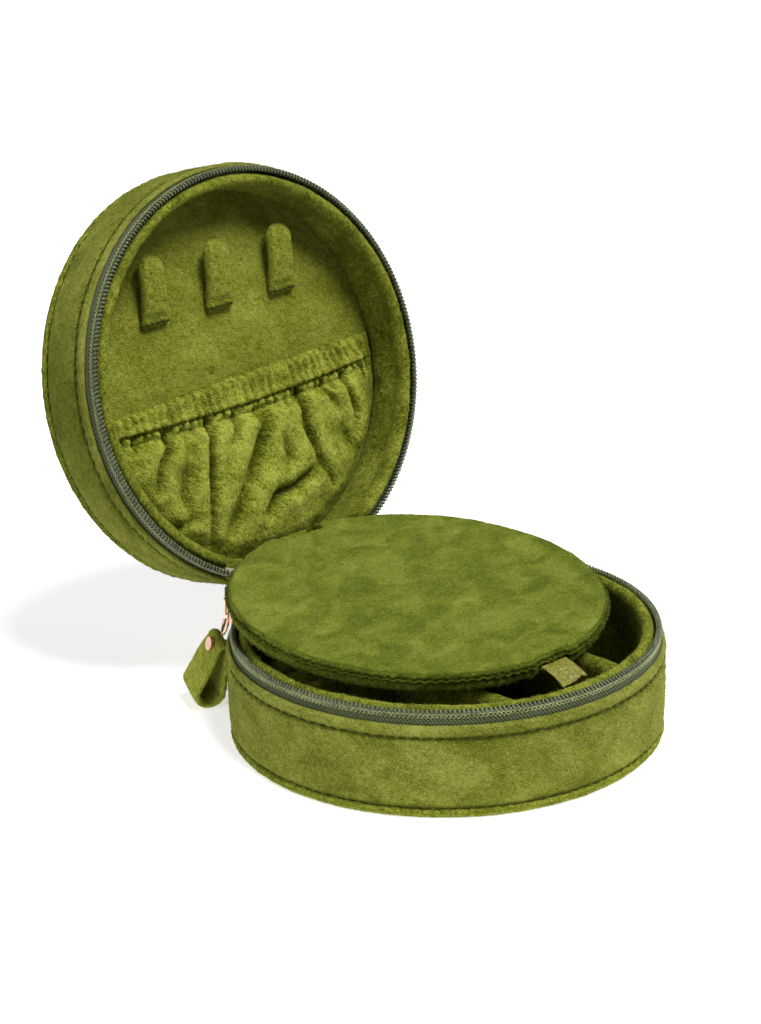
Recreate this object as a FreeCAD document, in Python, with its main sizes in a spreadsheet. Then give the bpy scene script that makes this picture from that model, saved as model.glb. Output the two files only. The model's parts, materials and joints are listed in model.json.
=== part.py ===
"""Round velvet travel jewelry case: base, hinged lid, zip, padded inner flap and puller loop.

Row frame: millimetres, +Z up, origin at the centre of the base's underside.
The lid's hinge is at the back (+Y), its axis runs along X, and the front of the case is -Y.
The case is stored open: the lid stands back on its taut hinge and the padded flap lies over the base.
"""
import FreeCAD, Part
import math
import os
import Sketcher

PARTS_FOLDER = "parts"
doc = FreeCAD.newDocument("travel_jewelry_case")

# --------------------------------------------------------------------------- driving dimensions
DIMENSIONS = [
    ("case_radius", 57.5),        # outside of the velvet wall
    ("wall_thick", 1.15),         # outer velvet with its backing
    ("edge_size", 1.15),          # radius of the piping round the outer edges
    ("cover_thick", 1.2),         # velvet over the bottom and the back
    ("board_thick", 1.4),         # stiff cardboard
    ("board_inset", 1.7),         # cardboard wall inside the outside of the case
    ("board_gap", 0.1),           # glue line between layers
    ("tape_thick", 0.4),          # woven zip tape
    ("tape_height", 7.2),         # tape from inside the wall up to the coil
    ("tape_edge", 0.6),           # tape stops this far below the coil's middle
    ("coil_radius", 56.2),        # circle the zip coil lies on
    ("coil_wire", 0.5),           # half the thickness of the coil
    ("coil_end", 27.0),           # degrees from the hinge to each end of the zip
    ("base_coil_level", 28.4),    # coil of the base above the underside
    ("zip_margin", 3.0),          # coil above the top of the velvet wall
    ("coil_spread", 1.62),        # gap between the two coil circles when closed
    ("lid_deep", 22.8),           # lid, from its coil to its back
    ("lining_inside", 51.8),      # clear radius inside the padded lining
    ("lining_thick", 2.1),
    ("lining_proud", 0.6),        # lining stands this far past the coil
    ("floor_level", 4.6),         # top of the lining floor in the base
    ("floor_thick", 1.7),
    ("panel_depth", 13.5),        # lid lining panel behind the lid's coil
    ("panel_thick", 2.3),
    ("flap_window", 20.0),        # half width of the dip in the linings that the flap passes
    ("flap_window_low", 6.0),     # depth of that dip
    ("hinge_gap", 8.5),           # half width left between the hinge's two folds for the flap's strip
    ("hinge_back", 56.13),        # hinge axis behind the centre
    ("hinge_level", 29.21),       # hinge axis above the underside
    ("lid_open", 105.0),          # degrees from closed to open
    ("divider_top", 25.4),
    ("divider_thick", 4.2),
    ("divider_reach", 51.2),      # dividers end inside this radius
    ("cross_place", 2.6),         # middle of the cross divider behind the centre
    ("front_place", 17.5),        # middle of each front divider beside the centre
    ("roll_radius", 4.3),
    ("roll_pitch", 9.1),
    ("roll_first", 11.2),         # first ring roll behind the centre
    ("roll_shelf", 16.0),         # top of the foam the rolls lie on
    ("strap_wide", 9.0),
    ("strap_long", 16.4),
    ("strap_thick", 2.3),
    ("strap_front", 10.2),        # depth of a strap's sewn end behind the lid's coil
    ("strap_low", 21.9),          # a strap's sewn end, from the lid's centre away from the hinge
    ("strap_lean", 9.0),          # degrees a strap's free end stands off the panel
    ("strap_pitch", 23.0),
    ("socket_radius", 2.8),       # press stud's upper half, under each strap
    ("stud_radius", 1.25),        # press stud's lower half, on the panel
    ("pocket_top", 0.0),          # mouth of the pocket, from the lid's centre away from the hinge
    ("pocket_front", 7.0),        # outer face of the pocket behind the lid's coil
    ("pocket_sheet", 0.8),
    ("pocket_radius", 51.2),
    ("flap_radius", 50.65),       # padded flap
    ("flap_thick", 5.8),
    ("flap_cover", 0.8),
    ("flap_tilt", 4.37),          # degrees, flap lower at the front
    ("flap_back", 10.7),          # flap's middle behind the centre, case open
    ("flap_level", 33.32),        # flap's middle above the underside, case open
    ("strip_axis_back", 56.966),  # where the flap's fabric strip turns on the case
    ("strip_axis_level", 32.157),
    ("strip_reach", 6.83),        # from there to the flap's edge
    ("strip_angle", 47.68),       # degrees above level, case open
    ("strip_wide", 12.0),
    ("strip_slack", 1.5),         # room each side of the strip in the flap and the linings
    ("tab_wide", 9.0),
    ("tab_long", 8.2),
    ("tab_thick", 0.5),
    ("tab_droop", 12.0),          # degrees below the flap
    ("slider_long", 8.0),
    ("slider_plate", 1.0),        # thickness of the slider's outer plate
    ("slider_bridge", 2.6),       # how far the bridge stands out
    ("slider_place", 123.0),      # degrees round the zip where the slider is parked
    ("puller_lean", 20.0),        # degrees outward from straight down
    ("puller_axis_out", 59.78),   # where the pull ring hangs
    ("puller_axis_level", 27.9),
    ("ring_radius", 3.4),
    ("ring_wire", 0.45),
    ("loop_wide", 11.0),
    ("loop_band", 1.7),           # folded velvet of the loop
    ("loop_twist", 36.0),         # degrees the loop is turned on its ring
    ("loop_bottom", 4.6),         # outer radius of the loop's lower fold
    ("loop_neck", 2.1),           # outer radius at its riveted neck
    ("loop_length", 13.4),        # between those two radii's middles
]

sizes = doc.addObject("Spreadsheet::Sheet", "sizes")
for row, (alias, value) in enumerate(DIMENSIONS, start=1):
    sizes.set("A%d" % row, alias.replace("_", " "))
    sizes.set("B%d" % row, str(value))
    sizes.setAlias("B%d" % row, alias)
doc.recompute()

# Lengths that several pieces share, as expressions of the sheet.
WALL_INSIDE = "sizes.case_radius - sizes.wall_thick"
BOARD_OUTSIDE = "sizes.case_radius - sizes.board_inset"
BOARD_INSIDE = "sizes.case_radius - sizes.board_inset - sizes.board_thick"
FLAT_RADIUS = BOARD_INSIDE + " - 2 * sizes.board_gap"
COVER_RADIUS = "sizes.case_radius - 2 * sizes.edge_size - 0.2"
TAPE_INSIDE = "sizes.coil_radius - 0.3"
LINING_OUTSIDE = "sizes.lining_inside + sizes.lining_thick"
PANEL_BACK = "sizes.panel_depth + sizes.panel_thick"
STRIP_PASSAGE = "0.5 * sizes.strip_wide + sizes.strip_slack"

# Placements: the lid's frame has its origin at the middle of the lid's coil and +Z into the lid.
LID_PLACE = (
    "placement(vector(0; "
    "sizes.hinge_back * (1 - cos(sizes.lid_open)) + 0.5 * sizes.coil_spread * sin(sizes.lid_open); "
    "sizes.hinge_level + sizes.hinge_back * sin(sizes.lid_open) "
    "+ 0.5 * sizes.coil_spread * cos(sizes.lid_open)); "
    "rotation(vector(1; 0; 0); -sizes.lid_open))"
)
STRAP_PLACE = (
    LID_PLACE + " * placement(vector(0; -1 * sizes.strap_low; sizes.strap_front); "
    "rotation(vector(1; 0; 0); sizes.strap_lean))"
)
FLAP_PLACE = (
    "placement(vector(0; sizes.flap_back; sizes.flap_level); "
    "rotation(vector(1; 0; 0); sizes.flap_tilt))"
)
STRIP_PLACE = (
    "placement(vector(0; sizes.strip_axis_back; sizes.strip_axis_level); "
    "rotation(vector(1; 0; 0); sizes.strip_angle))"
)
SLIDER_PLACE = "placement(vector(0; 0; 0); rotation(vector(0; 0; 1); sizes.slider_place))"
PULLER_TURN = (
    "rotation(vector(0; 0; 1); sizes.slider_place) * rotation(vector(0; 1; 0); -sizes.puller_lean)"
)
PULLER_SPOT = (
    "vector(sizes.puller_axis_out * cos(sizes.slider_place); "
    "sizes.puller_axis_out * sin(sizes.slider_place); sizes.puller_axis_level)"
)
HANGING = "placement(%s; %s * rotation(vector(0; 0; 1); %s * sizes.loop_twist))"
RING_PLACE = HANGING % (PULLER_SPOT, PULLER_TURN, "0.5")
LOOP_PLACE = HANGING % (PULLER_SPOT, PULLER_TURN, "1")

nodes = []


def size(alias):
    """A driving dimension as a number."""
    return float(sizes.get(alias))


def finish_node(shape_object, label, place=None):
    """Names a sub-part, places it in the row frame and lists it for export."""
    shape_object.Label = label
    if place:
        shape_object.setExpression("Placement", place)
    nodes.append(shape_object)
    return shape_object


# --------------------------------------------------------------------------- Part primitives
def cylinder(name, radius, low, height, across=0.0, along=0.0):
    """An upright cylinder from low, at (across, along); lengths may be expressions."""
    made = doc.addObject("Part::Cylinder", name)
    made.setExpression("Radius", str(radius))
    made.setExpression("Height", str(height))
    made.setExpression(
        "Placement", "placement(vector(%s; %s; %s); rotation(vector(0; 0; 1); 0))" % (across, along, low)
    )
    return made


def block(name, wide, deep, tall, left, front, low):
    """A box given by its three sizes and its lowest corner; lengths may be expressions."""
    made = doc.addObject("Part::Box", name)
    made.setExpression("Length", str(wide))
    made.setExpression("Width", str(deep))
    made.setExpression("Height", str(tall))
    made.setExpression(
        "Placement", "placement(vector(%s; %s; %s); rotation(vector(0; 0; 1); 0))" % (left, front, low)
    )
    return made


def cut(name, base, tool):
    made = doc.addObject("Part::Cut", name)
    made.Base = base
    made.Tool = tool
    return made


def common(name, first, second):
    made = doc.addObject("Part::Common", name)
    made.Base = first
    made.Tool = second
    return made


def fuse(name, pieces):
    made = doc.addObject("Part::MultiFuse", name)
    made.Shapes = pieces
    return made


def group(name, pieces):
    """Separate solids that share one node."""
    made = doc.addObject("Part::Compound", name)
    made.Links = pieces
    return made


def arc_torus(name, radius, wire, level, from_hinge):
    """A ring of round section, open by from_hinge degrees each side of the hinge (+Y)."""
    made = doc.addObject("Part::Torus", name)
    made.setExpression("Radius1", radius)
    made.setExpression("Radius2", wire)
    made.setExpression("Angle3", "360 - 2 * %s" % from_hinge)
    made.setExpression(
        "Placement", "placement(vector(0; 0; %s); rotation(vector(0; 0; 1); 90 + %s))" % (level, from_hinge)
    )
    return made


# --------------------------------------------------------------------------- PartDesign helpers
def origin_plane(body, role):
    return [feature for feature in body.Origin.OriginFeatures if feature.Role == role][0]


def new_sketch(body, name, role):
    sketch = body.newObject("Sketcher::SketchObject", name)
    sketch.AttachmentSupport = [(origin_plane(body, role), "")]
    sketch.MapMode = "FlatFace"
    return sketch


def constrain(sketch, kind, *where, value=None):
    """Adds a constraint, bound to the sheet when value is an expression."""
    if value is None:
        sketch.addConstraint(Sketcher.Constraint(kind, *where))
        return
    index = sketch.addConstraint(Sketcher.Constraint(kind, *where, 1.0))
    sketch.setExpression("Constraints[%d]" % index, value)


def rectangle(sketch, left, right, low, high):
    """A four-line rectangle; each side's place is an expression measured from the origin."""
    start = len(sketch.Geometry)
    corners = [(1, 1), (2, 1), (2, 2), (1, 2)]
    for index in range(4):
        first = FreeCAD.Vector(*corners[index], 0)
        second = FreeCAD.Vector(*corners[(index + 1) % 4], 0)
        sketch.addGeometry(Part.LineSegment(first, second))
    for index in range(4):
        constrain(sketch, "Coincident", start + index, 2, start + (index + 1) % 4, 1)
    for index, kind in enumerate(("Horizontal", "Vertical", "Horizontal", "Vertical")):
        constrain(sketch, kind, start + index)
    constrain(sketch, "DistanceX", -1, 1, start, 1, value=left)
    constrain(sketch, "DistanceX", -1, 1, start, 2, value=right)
    constrain(sketch, "DistanceY", -1, 1, start, 1, value=low)
    constrain(sketch, "DistanceY", -1, 1, start + 2, 1, value=high)


def ring_body(name, inside, outside, low, high, rounding=None):
    """A body of revolution with a rectangular section; rounding softens every edge."""
    body = doc.addObject("PartDesign::Body", name)
    sketch = new_sketch(body, name + "_section", "XZ_Plane")
    rectangle(sketch, inside, outside, low, high)
    revolution = body.newObject("PartDesign::Revolution", name + "_turned")
    revolution.Profile = sketch
    revolution.ReferenceAxis = (sketch, ["V_Axis"])
    revolution.Angle = 360.0
    sketch.Visibility = False
    doc.recompute()
    if rounding:
        soften(body, revolution, rounding)
    return body


def soften(body, feature, radius, choose=None):
    """Fillets the feature's edges, or those that choose accepts."""
    edges = [
        "Edge%d" % (index + 1)
        for index, edge in enumerate(feature.Shape.Edges)
        if len(edge.Vertexes) and not seam(edge, feature.Shape) and (choose is None or choose(edge))
    ]
    fillet = body.newObject("PartDesign::Fillet", body.Name + "_soft")
    fillet.Base = (feature, edges)
    fillet.setExpression("Radius", radius)
    doc.recompute()
    return fillet


def seam(edge, shape):
    """True for the line where a closed round face meets itself."""
    return any(edge.isSeam(face) for face in shape.ancestorsOfType(edge, Part.Face))


def plate_body(name, sections, role="XY_Plane"):
    """A body padded from one or more sketches.

    sections: (draw, start, length) with draw(sketch); start and length are expressions.
    """
    body = doc.addObject("PartDesign::Body", name)
    for index, (draw, start, length) in enumerate(sections):
        sketch = new_sketch(body, "%s_outline_%d" % (name, index + 1), role)
        draw(sketch)
        raised = "placement(vector(0; 0; %s); rotation(vector(0; 0; 1); 0))" % start
        sketch.setExpression("AttachmentOffset", raised)
        pad = body.newObject("PartDesign::Pad", "%s_pad_%d" % (name, index + 1))
        pad.Profile = sketch
        pad.setExpression("Length", length)
        sketch.Visibility = False
        doc.recompute()
    return body


# --------------------------------------------------------------------------- shells of base and lid
def outer_shell(prefix, wall_low, wall_high, edge_level, cover_low, board_low, board_wall_high, place):
    """Velvet wall, piped edge, flat cover and the two cardboard stiffeners of one half."""
    wall = ring_body(prefix + "_outer_wall", WALL_INSIDE, "sizes.case_radius", wall_low, wall_high, "0.4")
    finish_node(wall, prefix + "_outer_wall", place)
    edge = doc.addObject("Part::Torus", prefix + "_edge")
    edge.setExpression("Radius1", "sizes.case_radius - sizes.edge_size - 0.05")
    edge.setExpression("Radius2", "sizes.edge_size")
    edge.setExpression("Placement", "placement(vector(0; 0; %s); rotation(vector(0; 0; 1); 0))" % edge_level)
    piping = group(prefix + "_piping_place", [edge])
    finish_node(piping, prefix + "_piping", place)
    wall_board = ring_body(
        prefix + "_wall_board", BOARD_INSIDE, BOARD_OUTSIDE, board_wall_high[0], board_wall_high[1]
    )
    finish_node(wall_board, prefix + "_wall_board", place)
    for label, radius, low, height in (
        (prefix + "_flat_cover", COVER_RADIUS, cover_low, "sizes.cover_thick"),
        (prefix + "_flat_board", FLAT_RADIUS, board_low, "sizes.board_thick"),
    ):
        disc = group(label + "_place", [cylinder(label + "_disc", radius, low, height)])
        finish_node(disc, label, place)


def zip_half(prefix, tape_low, coil_level, flap_low, place):
    """Woven tape, nylon coil, end stops and the fabric that carries on across the hinge."""
    outside = cylinder(prefix + "_tape_out", TAPE_INSIDE + " + sizes.tape_thick", tape_low, "sizes.tape_height")
    inside = cylinder(prefix + "_tape_in", TAPE_INSIDE, "%s - 1" % tape_low, "sizes.tape_height + 2")
    hinge_gap = block(
        prefix + "_tape_gap",
        "2 * sizes.case_radius * sin(sizes.coil_end)",
        "sizes.case_radius",
        "sizes.tape_height + 2",
        "-sizes.case_radius * sin(sizes.coil_end)",
        "0",
        "%s - 1" % tape_low,
    )
    ring = cut(prefix + "_tape_ring", outside, inside)
    tape = cut(prefix + "_tape_open", ring, hinge_gap)
    finish_node(tape, "zip_tape_" + prefix, place)
    coil = arc_torus(prefix + "_coil", "sizes.coil_radius", "sizes.coil_wire", coil_level, "sizes.coil_end")
    coil_node = group(prefix + "_coil_place", [coil])
    finish_node(coil_node, "zip_coil_" + prefix, place)
    stops = []
    wide, deep, tall, past_coil = 1.2, 1.4, 1.0, 1.4
    for side, name in ((-1, "left"), (1, "right")):
        across = "%d * sizes.coil_radius * sin(sizes.coil_end - %s)" % (side, past_coil)
        along = "sizes.coil_radius * cos(sizes.coil_end - %s)" % past_coil
        stops.append(
            block(
                prefix + "_stop_" + name,
                wide,
                deep,
                tall,
                "%s %s" % (across, "" if side < 0 else "- %s" % wide),
                "%s - %s" % (along, deep / 2),
                "%s - %s" % (coil_level, tall / 2),
            )
        )
    finish_node(group(prefix + "_stops_place", stops), "zip_stops_" + prefix, place)
    hinge_fabric(prefix, flap_low, place)


def hinge_fabric(prefix, low, place):
    """Two stretches of folded velvet, one each side of the flap's strip, that reach the hinge line."""
    height = "sizes.zip_margin - 0.4"
    outside = cylinder(prefix + "_hinge_out", "sizes.coil_radius + 0.4", low, height)
    inside = cylinder(prefix + "_hinge_in", "sizes.coil_radius - 0.4", "%s - 1" % low, height + " + 2")
    ring = cut(prefix + "_hinge_ring", outside, inside)
    sides = []
    reach = "sizes.case_radius * sin(sizes.coil_end - 4)"
    for name, left in (("left", "-1 * " + reach), ("right", "sizes.hinge_gap")):
        wide = reach + " - sizes.hinge_gap"
        window = block(
            "%s_hinge_%s" % (prefix, name),
            wide,
            "sizes.case_radius",
            height + " + 2",
            left,
            "0",
            "%s - 1" % low,
        )
        sides.append(common("%s_hinge_cut_%s" % (prefix, name), ring, window))
    finish_node(group(prefix + "_hinge_place", sides), "hinge_fabric_" + prefix, place)


def lining_ring(prefix, low, height, window_low, place):
    """Padded velvet lining wall, dipped at the back where the flap and its strip pass."""
    outside = cylinder(prefix + "_lining_out", LINING_OUTSIDE, low, height)
    inside = cylinder(prefix + "_lining_in", "sizes.lining_inside", "%s - 1" % low, height + " + 2")
    ring = cut(prefix + "_lining_ring", outside, inside)
    dip = block(
        prefix + "_lining_dip",
        "2 * sizes.flap_window",
        "sizes.lining_inside - 40",
        "sizes.flap_window_low + 1",
        "-sizes.flap_window",
        "40",
        window_low,
    )
    slot = block(
        prefix + "_lining_slot",
        "2 * (%s)" % STRIP_PASSAGE,
        "20",
        "sizes.flap_window_low + 1",
        "-1 * (%s)" % STRIP_PASSAGE,
        "40",
        window_low,
    )
    dipped = cut(prefix + "_lining_dipped", ring, dip)
    finish_node(cut(prefix + "_lining_open", dipped, slot), prefix + "_lining_wall", place)


def build_base():
    outer_shell(
        "base",
        "2 * sizes.edge_size + 0.3",
        "sizes.base_coil_level - sizes.zip_margin",
        "sizes.edge_size",
        "0",
        "sizes.cover_thick + sizes.board_gap",
        ("sizes.cover_thick + sizes.board_thick + 0.3", "sizes.base_coil_level - sizes.zip_margin - 1"),
        None,
    )
    zip_half(
        "base",
        "sizes.base_coil_level - sizes.tape_height - sizes.tape_edge",
        "sizes.base_coil_level",
        "sizes.base_coil_level - sizes.zip_margin + 0.05",
        None,
    )
    lining_ring(
        "base",
        "sizes.floor_level + 0.1",
        "sizes.base_coil_level + sizes.lining_proud - sizes.floor_level - 0.1",
        "sizes.base_coil_level + sizes.lining_proud - sizes.flap_window_low",
        None,
    )
    floor_low = "sizes.floor_level - sizes.floor_thick"
    floor = cylinder("base_floor_disc", FLAT_RADIUS, floor_low, "sizes.floor_thick")
    finish_node(group("base_floor_place", [floor]), "base_lining_floor")


def build_lid():
    outer_shell(
        "lid",
        "sizes.zip_margin",
        "sizes.lid_deep - 2 * sizes.edge_size - 0.3",
        "sizes.lid_deep - sizes.edge_size",
        "sizes.lid_deep - sizes.cover_thick",
        "sizes.lid_deep - sizes.cover_thick - sizes.board_gap - sizes.board_thick",
        ("sizes.zip_margin + 1", "sizes.lid_deep - sizes.cover_thick - sizes.board_thick - 0.3"),
        LID_PLACE,
    )
    zip_half("lid", "sizes.tape_edge", "0", "0.35", LID_PLACE)
    lining_ring(
        "lid",
        "-sizes.lining_proud",
        "sizes.panel_depth + sizes.lining_proud - 0.1",
        "-sizes.lining_proud - 1",
        LID_PLACE,
    )
    panel = cylinder("lid_panel_disc", BOARD_INSIDE + " - 0.2", "sizes.panel_depth", "sizes.panel_thick")
    finish_node(group("lid_panel_place", [panel]), "lid_lining_panel", LID_PLACE)
    foam_low = PANEL_BACK + " + 0.1"
    foam_high = "sizes.lid_deep - sizes.cover_thick - sizes.board_gap - sizes.board_thick - 0.1"
    foam = cylinder("lid_foam_disc", BOARD_INSIDE + " - 0.4", foam_low, "%s - (%s)" % (foam_high, foam_low))
    finish_node(group("lid_foam_place", [foam]), "lid_foam_pad", LID_PLACE)


# --------------------------------------------------------------------------- inside the base
def divider(name, wide, deep, left, front):
    """A foam-filled velvet divider with a rounded top, standing on the lining floor."""

    def outline(sketch):
        rectangle(sketch, left, "%s + %s" % (left, wide), front, "%s + %s" % (front, deep))

    low = "sizes.floor_level + 0.05"
    body = plate_body(name, [(outline, low, "sizes.divider_top - (%s)" % low)])
    top = size("divider_top")
    soften(
        body,
        body.Tip,
        "0.45 * sizes.divider_thick",
        lambda edge: min(vertex.Point.z for vertex in edge.Vertexes) > top - 0.01 and edge.Length > 10.0,
    )
    finish_node(body, name)


def build_dividers():
    half_chord = "sqrt(sizes.divider_reach ^ 2 - (sizes.cross_place + 0.5 * sizes.divider_thick) ^ 2)"
    divider(
        "cross_divider",
        "2 * " + half_chord,
        "sizes.divider_thick",
        "-1 * " + half_chord,
        "sizes.cross_place - 0.5 * sizes.divider_thick",
    )
    front_chord = "sqrt(sizes.divider_reach ^ 2 - (sizes.front_place + 0.5 * sizes.divider_thick) ^ 2)"
    back_end = "sizes.cross_place - 0.5 * sizes.divider_thick - 0.1"
    for name, middle in (("left", "-1 * sizes.front_place"), ("right", "sizes.front_place")):
        divider(
            "front_divider_" + name,
            "sizes.divider_thick",
            "%s + %s" % (front_chord, back_end),
            "%s - 0.5 * sizes.divider_thick" % middle,
            "-1 * " + front_chord,
        )


def build_ring_rolls():
    """Velvet rolls that grip rings between them, on a foam shelf behind the cross divider."""
    front = "sizes.cross_place + 0.5 * sizes.divider_thick + 0.1"
    low = "sizes.floor_level + 0.05"
    disc = cylinder("roll_shelf_disc", "sizes.divider_reach", low, "sizes.roll_shelf - (%s)" % low)
    window = block("roll_shelf_window", "110", "60", "30", "-55", front, "0")
    finish_node(common("roll_shelf_cut", disc, window), "ring_roll_shelf")
    for index in range(4):
        place = "sizes.roll_first + %d * sizes.roll_pitch" % index
        reach = "sqrt((sizes.divider_reach - 0.6) ^ 2 - (%s + sizes.roll_radius) ^ 2)" % place
        roll = doc.addObject("Part::Cylinder", "ring_roll_core_%d" % (index + 1))
        roll.setExpression("Radius", "sizes.roll_radius")
        roll.setExpression("Height", "2 * " + reach)
        roll.setExpression(
            "Placement",
            "placement(vector(-1 * %s; %s; sizes.roll_shelf + sizes.roll_radius + 0.05); "
            "rotation(vector(0; 1; 0); 90))" % (reach, place),
        )
        finish_node(group("ring_roll_place_%d" % (index + 1), [roll]), "ring_roll_%d" % (index + 1))


# --------------------------------------------------------------------------- inside the lid
def strap_outline(middle):
    """Draws one strap's rectangle; its sewn end is on the X axis and its free end is toward -Y."""

    def draw(sketch):
        rectangle(
            sketch,
            middle + " - 0.5 * sizes.strap_wide",
            middle + " + 0.5 * sizes.strap_wide",
            "-1 * sizes.strap_long",
            "0",
        )

    return draw


def is_free_corner(edge):
    """True for the two through-thickness edges at a strap's free end."""
    return edge.BoundBox.ZLength > 1.0 and edge.BoundBox.YMax < -1.0


def build_straps():
    """Three snap straps for chains, their press studs and the sewn anchors below them."""
    anchors = []
    studs = []
    stud_place = "0.5 * sizes.strap_wide - sizes.strap_long"
    for name, multiple in (("left", -1), ("middle", 0), ("right", 1)):
        across = "%d * sizes.strap_pitch" % multiple
        strap = plate_body("strap_" + name, [(strap_outline(across), "0", "sizes.strap_thick")])
        soften(strap, strap.Tip, "0.48 * sizes.strap_wide", is_free_corner)
        finish_node(strap, "strap_" + name, STRAP_PLACE)
        outside = cylinder(
            "socket_out_" + name, "sizes.socket_radius", "sizes.strap_thick + 0.05", "0.6", across, stud_place
        )
        inside = cylinder(
            "socket_in_" + name, "sizes.stud_radius + 0.25", "sizes.strap_thick - 0.5", "2", across, stud_place
        )
        finish_node(cut("socket_ring_" + name, outside, inside), "strap_socket_" + name, STRAP_PLACE)
        studs.append(
            cylinder(
                "stud_" + name,
                "sizes.stud_radius",
                "sizes.panel_depth - 0.7",
                "0.65",
                across,
                stud_place + " - sizes.strap_low",
            )
        )
        anchors.append(
            block(
                "anchor_" + name,
                "sizes.strap_wide",
                "2.8",
                "2.7",
                across + " - 0.5 * sizes.strap_wide",
                "0.5 - sizes.strap_low",
                "sizes.panel_depth - 2.75",
            )
        )
    finish_node(group("anchors_place", anchors), "strap_anchors", LID_PLACE)
    finish_node(group("studs_place", studs), "panel_studs", LID_PLACE)


def build_pocket():
    """Gathered pocket over the hinge half of the lid, open at its elastic edge."""
    front = cylinder("pocket_front_disc", "sizes.pocket_radius", "sizes.pocket_front", "sizes.pocket_sheet")
    rim_low = "sizes.pocket_front + sizes.pocket_sheet - 0.1"
    rim_height = "sizes.panel_depth - 0.1 - (%s)" % rim_low
    rim_out = cylinder("pocket_rim_out", "sizes.pocket_radius", rim_low, rim_height)
    rim_in = cylinder("pocket_rim_in", "sizes.pocket_radius - 1", rim_low + " - 1", rim_height + " + 2")
    rim = cut("pocket_rim", rim_out, rim_in)
    whole = fuse("pocket_whole", [front, rim])
    lower = block("pocket_lower", "120", "60", "30", "-60", "-1 * sizes.pocket_top", "0")
    finish_node(common("pocket_cut", whole, lower), "lid_pocket", LID_PLACE)
    band = block(
        "pocket_band",
        "94",
        "5",
        "0.5",
        "-47",
        "0.5 - sizes.pocket_top",
        "sizes.pocket_front + sizes.pocket_sheet + 0.05",
    )
    finish_node(group("pocket_band_place", [band]), "pocket_elastic", LID_PLACE)


# --------------------------------------------------------------------------- padded flap
def build_flap():
    """Padded round flap: two velvet covers over foam and card, a fabric strip and a ribbon tab."""
    half = "0.5 * sizes.flap_thick"
    inner = "sizes.flap_radius - sizes.flap_cover"
    strip_notch = block(
        "flap_strip_notch",
        "2 * (%s)" % STRIP_PASSAGE,
        "20",
        "20",
        "-1 * (%s)" % STRIP_PASSAGE,
        "sizes.flap_radius - 5.65",
        "-10",
    )
    tab_notch = block(
        "flap_tab_notch",
        "sizes.tab_wide + 1.4",
        "20",
        "20",
        "-0.5 * sizes.tab_wide - 0.7",
        "1.55 - sizes.flap_radius - 20",
        "-0.9",
    )
    notches = fuse("flap_notches", [strip_notch, tab_notch])
    for side, name in ((1, "top"), (-1, "bottom")):
        outside_low = "0.05" if side > 0 else "-1 * " + half
        outside = cylinder("flap_out_" + name, "sizes.flap_radius", outside_low, half + " - 0.05")
        rounded = doc.addObject("Part::Fillet", "flap_round_" + name)
        rounded.Base = outside
        doc.recompute()
        face_level = side * size("flap_thick") / 2
        for index, edge in enumerate(outside.Shape.Edges):
            box = edge.BoundBox
            if abs(box.ZMax - face_level) < 0.01 and box.ZLength < 0.01:
                rounded.Edges = [(index + 1, 1.3, 1.3)]
        inside_low = "-1" if side > 0 else "-1 * %s + sizes.flap_cover" % half
        inside = cylinder("flap_in_" + name, inner, inside_low, half + " - sizes.flap_cover + 1")
        cover = cut("flap_cover_" + name, rounded, inside)
        finish_node(cut("flap_notched_" + name, cover, notches), "flap_%s_cover" % name, FLAP_PLACE)
    foam = cylinder("flap_foam_disc", inner + " - 0.1", "-0.9", half + " - sizes.flap_cover + 0.8")
    finish_node(cut("flap_foam_notched", foam, notches), "flap_foam", FLAP_PLACE)
    card = cylinder("flap_card_disc", inner + " - 0.1", "-2", "1")
    finish_node(cut("flap_card_notched", card, notches), "flap_board", FLAP_PLACE)
    strip = block(
        "strip_piece",
        "sizes.strip_wide",
        "sizes.strip_reach - 2.4",
        "0.8",
        "-0.5 * sizes.strip_wide",
        "2.6",
        "-0.4",
    )
    finish_node(group("strip_place", [strip]), "flap_strip", STRIP_PLACE)
    build_tab()


def build_tab():
    """Folded ribbon that lifts the flap, opposite its strip."""

    def outline(sketch):
        rectangle(sketch, "-0.5 * sizes.tab_wide", "0.5 * sizes.tab_wide", "-1 * sizes.tab_long", "-0.1")

    tab = plate_body("ribbon_tab", [(outline, "-0.5 * sizes.tab_thick", "sizes.tab_thick")])
    place = (
        "placement(vector(0; sizes.flap_back - (sizes.flap_radius - 0.7) * cos(sizes.flap_tilt); "
        "sizes.flap_level - (sizes.flap_radius - 0.7) * sin(sizes.flap_tilt)); "
        "rotation(vector(1; 0; 0); sizes.flap_tilt + sizes.tab_droop))"
    )
    finish_node(tab, "ribbon_tab", place)


# --------------------------------------------------------------------------- slider and puller
def build_slider():
    """Slider that hooks over the base's coil, with a bridge for the pull ring."""
    inner_left = LINING_OUTSIDE + " + 0.4"
    outer_left = "sizes.case_radius + 0.25"
    bridge_left = outer_left + " + sizes.slider_plate - 0.05"
    coil = "sizes.base_coil_level"
    front = "-0.5 * sizes.slider_long"
    plates = []
    for name, wide, tall, left, low in (
        ("outer", "sizes.slider_plate", "6.5", outer_left, coil + " - 2.7"),
        ("inner", "sizes.slider_plate - 0.1", "3.6", inner_left, coil + " - 2.7"),
        (
            "hook",
            "%s + sizes.slider_plate - (%s)" % (outer_left, inner_left),
            "0.4",
            inner_left,
            coil + " + sizes.coil_wire + 0.08",
        ),
    ):
        plates.append(block("slider_" + name, wide, "sizes.slider_long", tall, left, front, low))
    bridge_low = coil + " - 2.4"
    plates.append(block("slider_bridge", "sizes.slider_bridge", "1.4", "5.6", bridge_left, "-0.7", bridge_low))
    opening = block(
        "slider_eye", "sizes.slider_bridge - 0.6", "3", "3.4", bridge_left + " + 0.1", "-1.5", coil + " - 1.4"
    )
    finish_node(cut("slider_open", fuse("slider_whole", plates), opening), "zip_slider_body", SLIDER_PLACE)


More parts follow.
